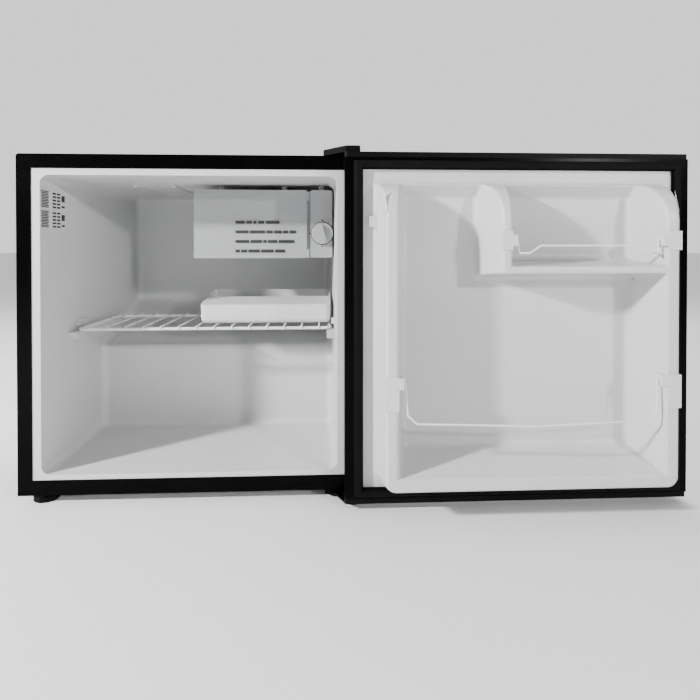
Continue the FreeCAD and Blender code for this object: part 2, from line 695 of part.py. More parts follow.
def make_freezer_flap():
    """Flat door with a stiffening bead on its back and two knuckles on its right edge."""
    y0, y1 = FREEZER_FRONT_Y, FREEZER_FRONT_Y + FLAP_THICKNESS
    right = FLAP_RIGHT
    panel = rounded_box(FLAP_LEFT, right, y0, y1, FLAP_BOTTOM, FLAP_TOP, 3, Y_AXIS)
    dish = box(FLAP_LEFT + 8, right - 8, y0 + 2, y1 + 1, FLAP_BOTTOM + 8, FLAP_TOP - 8)
    panel = panel.cut(dish)
    middle = (y0 + y1) / 2
    knuckles = []
    for z0, z1 in flap_knuckle_heights():
        arm = box(right - 3, FLAP_PIN_X, y0 + 0.2, y1 - 0.2, z0, z1)
        knuckles += [arm, cylinder(V(FLAP_PIN_X, middle, z0), FLAP_THICKNESS / 2 + 1, z1 - z0)]
    flap = union([panel] + knuckles)
    for z0, z1 in flap_knuckle_heights():
        flap = flap.cut(cylinder(V(FLAP_PIN_X, middle, z0 - 1), FLAP_PIN_RADIUS + RUNNING, z1 - z0 + 2))
    return flap


def make_evaporator_hangers():
    """Four spacers and their screws, from the freezer's top to the ceiling."""
    left, right, _, high = freezer_bounds()
    spots = [(x, y) for x in (left + 33.5, right - 33.5) for y in (FREEZER_FRONT_Y + 40,
            FREEZER_BACK_Y - 38)]
    return [cylinder(V(x, y, high), 4.5, OPENING_TOP - high) for x, y in spots]


def make_thermostat_housing():
    """Moulded box on the side wall, open at the back, with two pillars up to the ceiling."""
    y0, y1 = FREEZER_FRONT_Y, FREEZER_FRONT_Y + HOUSING_DEPTH
    outer = rounded_box(HOUSING_LEFT, HOUSING_RIGHT, y0, y1, HOUSING_BOTTOM, HOUSING_TOP, 3.5, Y_AXIS)
    wall = HOUSING_WALL
    inner = rounded_box(HOUSING_LEFT + wall, HOUSING_RIGHT - wall, y0 + wall, y1 + 1, HOUSING_BOTTOM + wall,
                        HOUSING_TOP - wall, 1.5, Y_AXIS)
    shell = outer.cut(inner)
    pillars = [cylinder(V((HOUSING_LEFT + HOUSING_RIGHT) / 2, y, HOUSING_TOP - wall), 5,
                        OPENING_TOP - HOUSING_TOP + wall) for y in (y0 + 20, y0 + 44)]
    return union([shell] + pillars).cut(cylinder(V(KNOB_X, y0 - 1, KNOB_Z), SHAFT_RADIUS + 1, 5, Y_AXIS))


def make_thermostat_body():
    """The switch behind the panel, with a round shaft that carries the knob."""
    y0 = FREEZER_FRONT_Y + HOUSING_WALL
    case = rounded_box(KNOB_X - 13, KNOB_X + 11, y0, y0 + 34, KNOB_Z - 20, KNOB_Z + 20, 3, Y_AXIS)
    shaft_start = FREEZER_FRONT_Y - KNOB_DISC
    shaft = cylinder(V(KNOB_X, shaft_start, KNOB_Z), SHAFT_RADIUS, y0 - shaft_start + 1, Y_AXIS)
    return union([case, shaft])


def make_thermostat_knob():
    """A round dial with a raised grip bar, bored from behind."""
    back = FREEZER_FRONT_Y - KNOB_GAP
    centre = V(KNOB_X, back, KNOB_Z)
    disc = cylinder(centre, KNOB_RADIUS, KNOB_DISC, V(0, -1, 0))
    disc = fillet(disc, 1.5, lambda edge: edge.Length > 60 and edge.BoundBox.YMax < back - 1)
    bar = rounded_box(KNOB_X - 3.2, KNOB_X + 3.2, back - KNOB_DISC - KNOB_GRIP, back - KNOB_DISC + 1,
                      KNOB_Z - KNOB_RADIUS + 3, KNOB_Z + KNOB_RADIUS - 3, 2.4, Y_AXIS)
    knob = disc.fuse(bar).removeSplitter()
    knob.rotate(centre, Y_AXIS, -KNOB_TURN)
    bore_end = FREEZER_FRONT_Y - KNOB_DISC - 0.3
    return knob.cut(cylinder(V(KNOB_X, bore_end, KNOB_Z), SHAFT_RADIUS + RUNNING, KNOB_DISC + 2, Y_AXIS))


# ---------------------------------------------------------------- shelf and tray

def make_wire_shelf():
    """A rod frame with a front bar and cross wires that bend down over it."""
    left, right = SHELF_SHIFT - SHELF_HALF, SHELF_SHIFT + SHELF_HALF
    back = SHELF_FRONT_Y + SHELF_DEPTH
    middle = (left + right) / 2
    frame = tube([(middle, SHELF_FRONT_Y, SHELF_Z), (left, SHELF_FRONT_Y, SHELF_Z), (left, back, SHELF_Z),
                  (right, back, SHELF_Z), (right, SHELF_FRONT_Y, SHELF_Z), (middle, SHELF_FRONT_Y,
                          SHELF_Z)],
                 ROD_RADIUS, 9)
    first = SHELF_SHIFT - CROSS_PITCH * (CROSS_COUNT - 1) / 2
    top = SHELF_Z + ROD_RADIUS + CROSS_RADIUS - CROSS_SINK
    drop = SHELF_Z - 1
    front = SHELF_FRONT_Y - ROD_RADIUS - CROSS_RADIUS + CROSS_SINK
    wires = []
    for number in range(CROSS_COUNT):
        x = first + number * CROSS_PITCH
        wires.append(tube([(x, back + ROD_RADIUS, top), (x, front, top), (x, front, drop)],
                CROSS_RADIUS, 3))
    return union([frame] + wires)


def tray_blank(inset, raise_top):
    """The tray's outer or inner block: its rim climbs from the front to the back."""
    base = SHELF_Z + ROD_RADIUS + 2 * CROSS_RADIUS - CROSS_SINK + RUNNER_GAP / 2
    front, back = TRAY_FRONT_Y + inset, TRAY_FRONT_Y + TRAY_DEPTH - inset
    outline = [(front + 3, base + inset), (back - 3, base + inset), (back,
            base + TRAY_BACK_HEIGHT + raise_top),
               (front, base + TRAY_FRONT_HEIGHT + raise_top)]
    block = prism_x(outline, TRAY_LEFT + inset, TRAY_RIGHT - inset)
    lower = lambda edge: max(v.Z for v in edge.Vertexes) < base + inset + 1 or (
        min(v.Z for v in edge.Vertexes) < base + inset + 1 and max(v.Z for v in edge.Vertexes) > base + 20)
    return fillet(block, 8 - inset, lower)


def make_drip_tray():
    return tray_blank(0, 0).cut(tray_blank(TRAY_WALL, 0).fuse(
        box(-HALF, HALF, FRONT_Y, REAR_PANEL_Y, SHELF_Z + 70, CABINET_TOP)))


# ---------------------------------------------------------------- door

def post_profile(grow):
    """Side outline of the posts: full height up to CURVE_START, then a quarter ellipse down to the flange."""
    rise, reach = RAISED_TOP - CURVE_START + grow, POST_HEIGHT + grow
    centre = V(0, LINER_Y, CURVE_START)
    steps = 24
    curve = []
    for step in range(steps + 1):
        angle = math.pi / 2 * step / steps
        curve.append(V(0, centre.y + reach * math.cos(angle), centre.z + rise * math.sin(angle)))
    arc = Part.BSplineCurve()
    arc.interpolate(curve)
    deep, low = RECESS_Y - 20, RAISED_BOTTOM - 20
    start, end = curve[0], curve[-1]
    sides = [V(0, end.y, end.z), V(0, deep, end.z), V(0, deep, low), V(0, start.y, low), V(0, start.y,
            start.z)]
    edges = [arc.toShape()] + [Part.LineSegment(a, b).toShape() for a, b in zip(sides, sides[1:])]
    return Part.Face(Part.Wire(edges)).extrude(V(2 * HALF, 0, 0)).translated(V(-HALF, 0, 0))


def raised_block(grow):
    """The frame of posts before its recess is taken out."""
    deep = LINER_Y - 30
    tilt = (POST_BASE_HALF - POST_FRONT_HALF) / POST_HEIGHT
    lift = (RAISED_BOTTOM_FRONT - RAISED_BOTTOM) / POST_HEIGHT
    front = POST_FRONT_Y + grow

    def rect(y):
        half = POST_BASE_HALF - tilt * (y - LINER_Y) + grow
        return (-half, half, RAISED_BOTTOM + lift * (y - LINER_Y) - grow, RAISED_TOP + 20)

    block = frustum_y(deep, rect(deep), front, rect(front))
    block = fillet(block, max(1.0, 14 + grow),
            lambda edge: edge.Length > 60 and max(v.Z for v in edge.Vertexes) < 90
                   and abs(edge.Vertexes[0].Y - edge.Vertexes[-1].Y) > 20)
    return block.common(post_profile(grow))


def recess_block(grow):
    """The hollow between the posts, down to just below the flange plane."""
    tilt = (RECESS_FRONT_HALF - RECESS_BACK_HALF) / (POST_HEIGHT + RECESS_DEPTH)
    lift = (BIN_FLOOR_BACK - BIN_FLOOR_FRONT) / (POST_HEIGHT + RECESS_DEPTH)
    roof = (RECESS_TOP - RECESS_TOP_BACK) / RECESS_DEPTH
    back, front = RECESS_Y - grow, POST_FRONT_Y + 20

    def rect(y):
        reach = y - RECESS_Y
        half = RECESS_BACK_HALF + tilt * reach + grow
        return (-half, half, BIN_FLOOR_BACK - lift * reach - grow, RECESS_TOP_BACK + roof * reach + grow)

    block = frustum_y(back, rect(back), front, rect(front))
    block = block.cut(divider(-grow))
    return fillet(block, 9 + grow,
            lambda edge: edge.BoundBox.YMin < RECESS_Y + 2 and edge.BoundBox.YMax < RECESS_Y + 2
                  and edge.Length > 20)


def divider(grow):
    """The middle post and the rack floor that stand in the recess."""
    deep, front = RECESS_Y - 20, POST_FRONT_Y + 20
    spread = MIDPOST_SPREAD / (POST_HEIGHT + RECESS_DEPTH)
    slope = (RACK_TOP_BACK - RACK_TOP_FRONT) / (POST_HEIGHT + RECESS_DEPTH)
    under = RACK_TOP_FRONT - RACK_THICKNESS

    def outline(y, right, top):
        back = POST_FRONT_Y - y
        return (right, MIDPOST_LEFT + spread * back + grow, under - slope * back - grow, top)

    def post(y):
        return outline(y, MIDPOST_RIGHT - spread / 2 * (POST_FRONT_Y - y) - grow, RAISED_TOP + 60)

    def floor(y):
        return outline(y, -HALF, RACK_TOP_FRONT + slope * (POST_FRONT_Y - y) + grow)

    return frustum_y(deep, post(deep), front, post(front)).fuse(
        frustum_y(deep, floor(deep), front, floor(front))).removeSplitter()


def door_inner_form(grow):
    """The whole inner side of the door, from the flange plane outwards, as one solid."""
    slab = box(-HALF, HALF, DOOR_FACE_Y, LINER_Y + grow, 0, CABINET_TOP + 10)
    return slab.fuse(raised_block(grow)).cut(recess_block(-grow))


def liner_window(extra):
    overlap = GASKET_WIDTH - 2 * RIM_TUCK
    half = FLANGE_HALF + overlap + extra
    return box(-half, half, DOOR_FACE_Y - 1, POST_FRONT_Y + 30, FLANGE_BOTTOM - overlap - extra,
               FLANGE_TOP + overlap + extra)


def make_door_liner():
    return door_inner_form(0).cut(door_inner_form(-DOOR_LINER)).common(liner_window(0))


def make_door_foam():
    skin = DOOR_SKIN
    core = box(-HALF + skin, HALF - skin, DOOR_FACE_Y + skin, POST_FRONT_Y, DOOR_BOTTOM + CAP_HEIGHT,
               DOOR_TOP - CAP_HEIGHT)
    core = fillet(core, PANEL_RADIUS - skin, lambda edge: along(edge,
            Z_AXIS) and edge.Vertexes[0].Y < LINER_Y - 5)
    core = core.common(door_inner_form(-DOOR_LINER))
    rim = box(-HALF, HALF, LINER_Y - DOOR_LINER, LINER_Y + 1, 0, CABINET_TOP + 10).cut(liner_window(0))
    core = core.cut(rim).cut(cap_body())
    for x in (-PIN_X, PIN_X):
        for low, high in ((0, DOOR_BOTTOM + BUSH_LENGTH), (DOOR_TOP - BUSH_LENGTH, CABINET_TOP)):
            core = core.cut(cylinder(V(x, PIN_Y, low), BUSH_RADIUS, high - low))
    return core


def make_door_outer_panel():
    """A folded sheet: front, both sides, and a return all round that ends under the gasket."""
    outer = box(-HALF, HALF, DOOR_FACE_Y, LINER_Y, DOOR_BOTTOM + CAP_HEIGHT, DOOR_TOP - CAP_HEIGHT)
    outer = fillet(outer, PANEL_RADIUS, lambda edge: along(edge,
            Z_AXIS) and edge.Vertexes[0].Y < LINER_Y - 1)
    skin = DOOR_SKIN
    inner = box(-HALF + skin, HALF - skin, DOOR_FACE_Y + skin, LINER_Y - skin, 0, CABINET_TOP + 10)
    inner = fillet(inner, PANEL_RADIUS - skin, lambda edge: along(edge,
            Z_AXIS) and edge.Vertexes[0].Y < LINER_Y - 5)
    reach = GASKET_WIDTH - RIM_TUCK
    half = FLANGE_HALF + reach
    mouth = box(-half, half, LINER_Y - 5, LINER_Y + 1, FLANGE_BOTTOM - reach, FLANGE_TOP + reach)
    return outer.cut(inner).cut(mouth).cut(cap_body())


def cap_body():
    """The top cap: a thin lid over the door, thicker along the front where the finger grip is."""
    low = DOOR_TOP - CAP_HEIGHT
    lid = rounded_box(-HALF, HALF, DOOR_FACE_Y, LINER_Y, low, DOOR_TOP, PANEL_RADIUS, Z_AXIS)
    grip = box(-HALF, HALF, DOOR_FACE_Y, DOOR_FACE_Y + GRIP_DEPTH, low - GRIP_DROP, low + 1)
    grip = fillet(grip, PANEL_RADIUS, lambda edge: along(edge,
            Z_AXIS) and edge.Vertexes[0].Y < DOOR_FACE_Y + 1)
    return union([lid, grip])


def make_door_top_cap():
    cap = cap_body()
    groove_z = DOOR_TOP - CAP_HEIGHT - GRIP_DROP / 2 + 1
    groove = cylinder(V(-GRIP_HALF, DOOR_FACE_Y, groove_z), GRIP_RADIUS, 2 * GRIP_HALF, X_AXIS)
    ends = [Part.makeSphere(GRIP_RADIUS, V(x, DOOR_FACE_Y, groove_z)) for x in (-GRIP_HALF, GRIP_HALF)]
    cap = cap.cut(groove.multiFuse(ends))
    for x in (-PIN_X, PIN_X):
        cap = cap.cut(cylinder(V(x, PIN_Y, 400), BUSH_RADIUS, 100))
    return cap


def make_door_bottom_cap():
    cap = rounded_box(-HALF, HALF, DOOR_FACE_Y, LINER_Y, DOOR_BOTTOM, DOOR_BOTTOM + CAP_HEIGHT,
            PANEL_RADIUS, Z_AXIS)
    for x in (-PIN_X, PIN_X):
        cap = cap.cut(cylinder(V(x, PIN_Y, 0), BUSH_RADIUS, 100))
    return cap


def make_door_bushes():
    """Flanged plastic bushes in the top and bottom caps."""
    bushes = []
    for end, inward in ((DOOR_TOP, -1), (DOOR_BOTTOM, 1)):
        sleeve = cylinder(V(PIN_X, PIN_Y, end), BUSH_RADIUS, BUSH_LENGTH, V(0, 0, inward))
        washer = cylinder(V(PIN_X, PIN_Y, end), BUSH_RADIUS + 2, WASHER - 0.4, V(0, 0, -inward))
        bore = cylinder(V(PIN_X, PIN_Y, end - inward * 5), PIN_RADIUS + RUNNING, 30, V(0, 0, inward))
        bushes.append(sleeve.fuse(washer).removeSplitter().cut(bore))
    return bushes


def make_door_plugs():
    """Blind plugs in the free side's hinge holes, for a door hung the other way."""
    plugs = []
    for end, inward in ((DOOR_TOP, -1), (DOOR_BOTTOM, 1)):
        stem = cylinder(V(-PIN_X, PIN_Y, end), BUSH_RADIUS, BUSH_LENGTH - 2, V(0, 0, inward))
        head = cylinder(V(-PIN_X, PIN_Y, end), BUSH_RADIUS + 1.5, 0.8, V(0, 0, -inward))
        plugs.append(stem.fuse(head).removeSplitter())
    return plugs


def ring_y(inner_inset, width, y0, y1):
    """A rectangular ring around the door liner's flange."""
    half, low, high = FLANGE_HALF + inner_inset, FLANGE_BOTTOM - inner_inset, FLANGE_TOP + inner_inset
    outer = box(-half - width, half + width, y0, y1, low - width, high + width)
    return outer.cut(box(-half, half, y0 - 1, y1 + 1, low, high))


def make_door_gasket():
    """A soft ring: a flat foot on the door, a bellows, and a head that holds the magnet."""
    top = LINER_Y + GASKET_GAP - GASKET_CLEARANCE
    foot = ring_y(0, GASKET_WIDTH, LINER_Y, LINER_Y + 2.4)
    bellows = ring_y(3, 6.5, LINER_Y + 2, LINER_Y + 4.6)
    head = ring_y(1.5, 9.5, LINER_Y + 4.4, top)
    groove = ring_y(MAGNET_INSET, MAGNET_WIDTH, magnet_y(), magnet_y() + MAGNET_THICKNESS)
    return union([foot, bellows, head]).cut(groove)


def magnet_y():
    return LINER_Y + 5.2


def make_gasket_magnets():
    """Four flexible magnet strips inside the gasket's head, which meet edge to edge at the corners."""
    ring = ring_y(MAGNET_INSET, MAGNET_WIDTH, magnet_y(), magnet_y() + MAGNET_THICKNESS)
    half = FLANGE_HALF + MAGNET_INSET
    sides = box(-half, half, -HALF * 2, 0, 0, CABINET_TOP)
    return [ring.common(sides), ring.cut(sides)]


def make_door_bumper():
    """A stepped rubber block beside the hinge-side post."""
    x0, x1 = POST_FRONT_HALF, FLANGE_HALF - 7.8
    z0, z1 = CURVE_START - 8.5, CURVE_START + 11.5
    wide = box(x0, x1, LINER_Y, LINER_Y + 8, z0 + 3, z1 - 3)
    tall = box(x0, x1 - 6, LINER_Y, LINER_Y + 12, z0, z1)
    return union([wide, tall]).cut(raised_block(0))


def clip(outer_x, inner_x, z0, z1, boss_low, boss_high):
    """A cap over a post's front, with a boss on its inner side that holds a wire's end."""
    side = 1 if inner_x < outer_x else -1
    y0, y1 = POST_FRONT_Y - 16, POST_FRONT_Y + CLIP_WALL
    cover = box(min(outer_x + side * CLIP_WALL, inner_x), max(outer_x + side * CLIP_WALL, inner_x),
            y0, y1, z0, z1)
    boss_x = inner_x - side * BOSS_LENGTH
    boss = box(min(inner_x, boss_x), max(inner_x, boss_x), POST_FRONT_Y - 14, y1, boss_low, boss_high)
    return union([cover, boss]).cut(raised_block(0).cut(recess_block(0)))


def clip_sets():
    """Outer and inner x of each post's front, clip heights and pivot height."""
    upper = (UPPER_PIVOT_Z - 12, UPPER_PIVOT_Z + 12, UPPER_PIVOT_Z)
    lower = (LOWER_PIVOT_Z - 34, LOWER_PIVOT_Z + 8, LOWER_PIVOT_Z)
    inner = RECESS_FRONT_HALF - WALL_GAP
    return [((MIDPOST_LEFT, MIDPOST_RIGHT) + upper), ((-POST_FRONT_HALF, -inner) + upper),
            ((POST_FRONT_HALF, inner) + lower), ((-POST_FRONT_HALF, -inner) + lower)]


def make_wire_clips():
    clips = []
    for outer_x, inner_x, z0, z1, pivot_z in clip_sets():
        piece = clip(outer_x, inner_x, z0, z1, pivot_z - 7, pivot_z + 7)
        bore = cylinder(V(inner_x - 30, WIRE_PIVOT_Y, pivot_z), WIRE_RADIUS + RUNNING, 60, X_AXIS)
        side = 1 if inner_x < outer_x else -1
        reach = box(min(inner_x, inner_x - side * 30), max(inner_x, inner_x - side * 30), -HALF * 2,
                0, 0, CABINET_TOP)
        clips.append(piece.cut(bore.common(reach)))
    return clips


def make_upper_rack_wire():
    left, right = MIDPOST_RIGHT, -RECESS_FRONT_HALF + WALL_GAP
    y, z = WIRE_PIVOT_Y, UPPER_PIVOT_Z
    arm_l, arm_r = left - BOSS_LENGTH - 2.4, right + BOSS_LENGTH + 2.4
    front = y + 7
    points = [(left - WIRE_END_GAP, y, z), (arm_l, y, z), (arm_l - 1.5, y + 2, z - 16), (arm_l - 13,
            front, z - 16),
              (arm_l - 27, front, z - 6.5), (arm_r + 27, front, z - 6.5), (arm_r + 13, front, z - 16),
              (arm_r + 1.5, y + 2, z - 16), (arm_r, y, z), (right + WIRE_END_GAP, y, z)]
    return tube(points, WIRE_RADIUS, 2.2)


def make_lower_rack_wire():
    reach = RECESS_FRONT_HALF - WALL_GAP
    y, z = WIRE_PIVOT_Y, LOWER_PIVOT_Z
    arm = reach - BOSS_LENGTH - 2.4
    bow, low = 14.0, z - 50
    points = [(reach - WIRE_END_GAP, y, z), (arm, y, z), (arm - 3, y + 3, low + 10), (arm - 14, y + 6, low),
              (arm - 80, y + bow - 2, low), (0, y + bow + 3, low - 1)]
    points += [(-x, a, b) for x, a, b in reversed(points[:-1])]
    return tube(points, WIRE_RADIUS, 2.6)


# ---------------------------------------------------------------- hinges

def hinge_nut_blank():
    return union([cylinder(V(x, y, CABINET_TOP - ANCHOR_LENGTH), ANCHOR_RADIUS, ANCHOR_LENGTH) for x,
            y in top_screw_spots()])


def top_screw_spots():
    return [(HINGE_LEFT + 12, HINGE_BACK_Y - 12), (HINGE_RIGHT - 12, HINGE_BACK_Y - 12)]


def make_top_hinge():
    """Steel plate on the cabinet's top, which reaches out over the door and carries a pin."""
    z0 = CABINET_TOP
    outline = [(HINGE_LEFT, HINGE_BACK_Y), (HINGE_RIGHT, HINGE_BACK_Y), (HINGE_RIGHT, HINGE_FRONT_Y),
               (PIN_X - 8, HINGE_FRONT_Y), (HINGE_LEFT, FRONT_Y + 4)]
    plate = prism_z(outline, z0, z0 + HINGE_PLATE)
    pin = cylinder(V(PIN_X, PIN_Y, DOOR_TOP - BUSH_LENGTH + 2), PIN_RADIUS,
            z0 + HINGE_PLATE + 1.5 - DOOR_TOP
                   + BUSH_LENGTH - 2)
    hinge = plate.fuse(pin).removeSplitter()
    for x, y in top_screw_spots():
        hinge = hinge.cut(cylinder(V(x, y, z0 - 1), SCREW_HOLE, 10))
    return hinge


def make_top_hinge_screws():
    screws = []
    for x, y in top_screw_spots():
        z = CABINET_TOP + HINGE_PLATE
        head = fillet(cylinder(V(x, y, z), SCREW_HEAD, 2.6), 1.2, lambda edge: edge.BoundBox.ZMin > z + 2)
        shank = cylinder(V(x, y, z - 14), SCREW_RADIUS, 15)
        cross = union([box(x - 2.6, x + 2.6, y - 0.6, y + 0.6, z + 1, z + 4),
                       box(x - 0.6, x + 0.6, y - 2.6, y + 2.6, z + 1, z + 4)])
        screws.append(head.fuse(shank).removeSplitter().cut(cross))
    return screws


def make_hinge_nuts():
    """Two screw anchors foamed in under the top."""
    nuts = []
    for x, y in top_screw_spots():
        blank = cylinder(V(x, y, CABINET_TOP - ANCHOR_LENGTH), ANCHOR_RADIUS, ANCHOR_LENGTH - SHEET)
        nuts.append(blank.cut(cylinder(V(x, y, 0), SCREW_RADIUS, CABINET_TOP)))
    return nuts


def make_top_hinge_cover():
    """Moulded cap that hides the hinge plate and its screws."""
    z0, z1 = CABINET_TOP, CABINET_TOP + COVER_HEIGHT

    def blank(inset, top):
        left, right = HINGE_LEFT - 2 + inset, HINGE_RIGHT + 2 - inset
        back, front = HINGE_BACK_Y + 3 - inset, HINGE_FRONT_Y - 2 + inset
        outline = [(left, back), (right, back), (right, front), (PIN_X - 10 + inset, front),
                   (left, FRONT_Y + 1 + inset * 0.4)]
        return prism_z(outline, z0, top)

    outer = fillet(blank(0, z1), 3, lambda edge: edge.BoundBox.ZMin > z1 - 0.1)
    return outer.cut(blank(COVER_WALL, z1 - COVER_WALL))


def make_bottom_hinge():
    """Stepped steel bracket under the cabinet's front edge, with a pin up into the door."""
    high, low = BASE_Z, DOOR_BOTTOM - WASHER
    left, right, back = HINGE_LEFT, HINGE_RIGHT, HINGE_BACK_Y
    step_y = FRONT_Y + 0.6
    top_leaf = box(left, right, step_y, back, high - HINGE_PLATE, high)
    riser = box(left, right, step_y - HINGE_PLATE, step_y, low - HINGE_PLATE, high)
    leaf = prism_z([(left + 12, step_y), (right, step_y), (right, HINGE_FRONT_Y), (PIN_X - 10,
            HINGE_FRONT_Y)],
                   low - HINGE_PLATE, low)
    pin = cylinder(V(PIN_X, PIN_Y, low - HINGE_PLATE - 2.5), PIN_RADIUS, BUSH_LENGTH + 2)
    rivet = cylinder(V(PIN_X, PIN_Y, low - HINGE_PLATE - 2.5), PIN_RADIUS + 2.5, 2.5)
    bracket = union([top_leaf, riser, leaf, pin, rivet])
    bracket = bracket.cut(cylinder(V(FOOT_X, FOOT_FRONT_Y, 0), STEM_RADIUS + 1.2, 40))
    for x, y in bottom_screw_spots():
        bracket = bracket.cut(cylinder(V(x, y, 0), SCREW_HOLE, 40))
    return bracket


def bottom_screw_spots():
    return [(HINGE_LEFT + 6, HINGE_BACK_Y - 5), (HINGE_RIGHT - 6, HINGE_BACK_Y - 5)]


def make_bottom_hinge_screws():
    screws = []
    for x, y in bottom_screw_spots():
        z = BASE_Z - HINGE_PLATE
        head = cylinder(V(x, y, z - 2.4), SCREW_HEAD, 2.4)
        shank = cylinder(V(x, y, z - 1), SCREW_RADIUS, HINGE_PLATE + 1)
        screws.append(head.fuse(shank).removeSplitter())
    return screws


def make_hole_plugs():
    """Caps in the unused hinge holes on the other side of the cabinet's top."""
    plugs = []
    for x, y in top_screw_spots():
        cap = fillet(cylinder(V(-x, y, CABINET_TOP), 5, 1.6), 1,
                lambda edge: edge.BoundBox.ZMin > CABINET_TOP + 1)
        plugs.append(cap)
    return plugs


def make_rear_screws():
    """Screws round the edge of the rear panel."""
    spots = [(sx * (HALF - 14), z) for sx in (-1, 1) for z in (BAY_ROOF_BACK + 20, COIL_BOTTOM + 75,
            CABINET_TOP - 89, CABINET_TOP - 30)]
    spots += [(x, CABINET_TOP - 7) for x in (-120, 0, 120)]
    screws = []
    for x, z in spots:
        head = cylinder(V(x, REAR_PANEL_Y, z), 3.8, 2.2, Y_AXIS)
        head = fillet(head, 1, lambda edge: edge.BoundBox.YMin > REAR_PANEL_Y + 2)
        slot = box(x - 2.4, x + 2.4, REAR_PANEL_Y + 1.2, REAR_PANEL_Y + 3, z - 0.5, z + 0.5)
        screws.append(head.cut(slot))
    return screws


def swung_open(shape):
    opened = shape.copy()
    opened.rotate(V(PIN_X, PIN_Y, 0), Z_AXIS, OPEN_ANGLE)
    return opened


CABINET = {
    "outer_wrap": make_outer_wrap,
    "front_rail": make_front_rail,
    "base_panel": make_base_panel,
    "rear_panel": make_rear_panel,
    "bay_panel": make_bay_panel,
    "cabinet_foam": make_cabinet_foam,
    "inner_liner": make_inner_liner,
    "compressor_tray": make_compressor_tray,
    "compressor": make_compressor,
    "compressor_grommets": make_grommets,
    "compressor_bolts": make_compressor_bolts,
    "start_relay_cover": make_start_relay,
    "filter_drier": make_filter_drier,
    "discharge_line": make_discharge_line,
    "suction_line": make_suction_line,
    "drier_line": make_drier_line,
    "condenser_coil": make_condenser_coil,
    "condenser_wires": make_condenser_wires,
    "condenser_brackets": make_condenser_brackets,
    "evaporator_box": make_evaporator_box,
    "freezer_frame": make_freezer_frame,
    "evaporator_hangers": make_evaporator_hangers,
    "freezer_flap": make_freezer_flap,
    "thermostat_housing": make_thermostat_housing,
    "thermostat_body": make_thermostat_body,
    "thermostat_knob": make_thermostat_knob,
    "wire_shelf": make_wire_shelf,
    "drip_tray": make_drip_tray,
    "foot_inserts": make_foot_inserts,
    "front_left_foot": lambda: levelling_foot(-FOOT_X),
    "front_right_foot": lambda: levelling_foot(FOOT_X),
    "rear_feet": make_rear_feet,
    "cord_gland": make_cord_gland,
    "top_hinge": make_top_hinge,
    "top_hinge_cover": make_top_hinge_cover,
    "top_hinge_screws": make_top_hinge_screws,
    "hinge_anchors": make_hinge_nuts,
    "bottom_hinge": make_bottom_hinge,
    "bottom_hinge_screws": make_bottom_hinge_screws,
    "hinge_hole_plugs": make_hole_plugs,
    "rear_screws": make_rear_screws,
}

DOOR = {
    "door_outer_panel": make_door_outer_panel,
    "door_top_cap": make_door_top_cap,
    "door_bottom_cap": make_door_bottom_cap,
    "door_foam": make_door_foam,
    "door_liner": make_door_liner,
    "door_gasket": make_door_gasket,
    "gasket_magnets": make_gasket_magnets,
    "door_bushes": make_door_bushes,
    "door_plugs": make_door_plugs,
    "door_bumper": make_door_bumper,
    "wire_clips": make_wire_clips,
    "upper_rack_wire": make_upper_rack_wire,
    "lower_rack_wire": make_lower_rack_wire,
}

os.makedirs("parts", exist_ok=True)
for name, make in {**CABINET, **DOOR}.items():
    shape = solids_of(make())
    if name in DOOR:
        shape = swung_open(shape)
    sound = shape.isValid() and all(solid.Volume > 0 for solid in shape.Solids)
    shape.exportStep(f"parts/{name}.step")
    print(f"{name}: {len(shape.Solids)} solids, {shape.Volume / 1000:.2f} cm3, valid {sound}")
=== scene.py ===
# %% [markdown]
# A mini fridge stands on a pale floor with its door swung right round, so that the lined
# room and the inside of the door face the same way. The frame brings every hard part in
# its real size and place. This notebook gives those parts their finishes and adds what a
# frame leaves plain: the rolled edges of the door lining, the soft door seal, the stuck-on
# labels and the printed marks.

# %% Load the frame
import json
import math

import bpy
import bmesh
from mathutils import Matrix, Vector


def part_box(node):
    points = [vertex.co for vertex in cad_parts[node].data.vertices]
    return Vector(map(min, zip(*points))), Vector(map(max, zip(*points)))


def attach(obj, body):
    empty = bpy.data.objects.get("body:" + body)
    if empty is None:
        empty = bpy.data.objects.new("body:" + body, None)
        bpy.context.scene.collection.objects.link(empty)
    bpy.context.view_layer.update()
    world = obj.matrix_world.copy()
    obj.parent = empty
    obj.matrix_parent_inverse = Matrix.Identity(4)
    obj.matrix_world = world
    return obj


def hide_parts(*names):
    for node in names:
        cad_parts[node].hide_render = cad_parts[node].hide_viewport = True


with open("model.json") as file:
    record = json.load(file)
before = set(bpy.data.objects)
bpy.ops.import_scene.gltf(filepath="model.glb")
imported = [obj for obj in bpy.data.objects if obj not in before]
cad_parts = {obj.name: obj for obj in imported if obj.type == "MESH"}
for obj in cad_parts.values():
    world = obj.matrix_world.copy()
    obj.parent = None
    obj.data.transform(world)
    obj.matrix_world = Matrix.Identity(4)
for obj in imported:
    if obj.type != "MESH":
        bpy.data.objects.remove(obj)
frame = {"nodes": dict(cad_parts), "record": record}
bpy.ops.object.select_all(action="DESELECT")
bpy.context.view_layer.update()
parts = frame["nodes"]


# %% [markdown]
# Every finish is a small network of shader nodes. Written as Python, the sums in it read
# like sums: `Wire` wraps one output socket and its operators add Math nodes. Everything
# else comes from `Finish.node`, which sets a node up first and then fills its sockets.

# %% Shader arithmetic
class Wire:
    """One output socket of a finish, which can be added and multiplied."""

    def __init__(self, finish, socket):
        self.finish, self.socket = finish, socket

    def math(self, operation, first, second):
        return self.finish.node("ShaderNodeMath", {"operation": operation}, [first, second])

    def __add__(self, other):
        return self.math("ADD", self, other)

    def __mul__(self, other):
        return self.math("MULTIPLY", self, other)

    __radd__ = __add__
    __rmul__ = __mul__


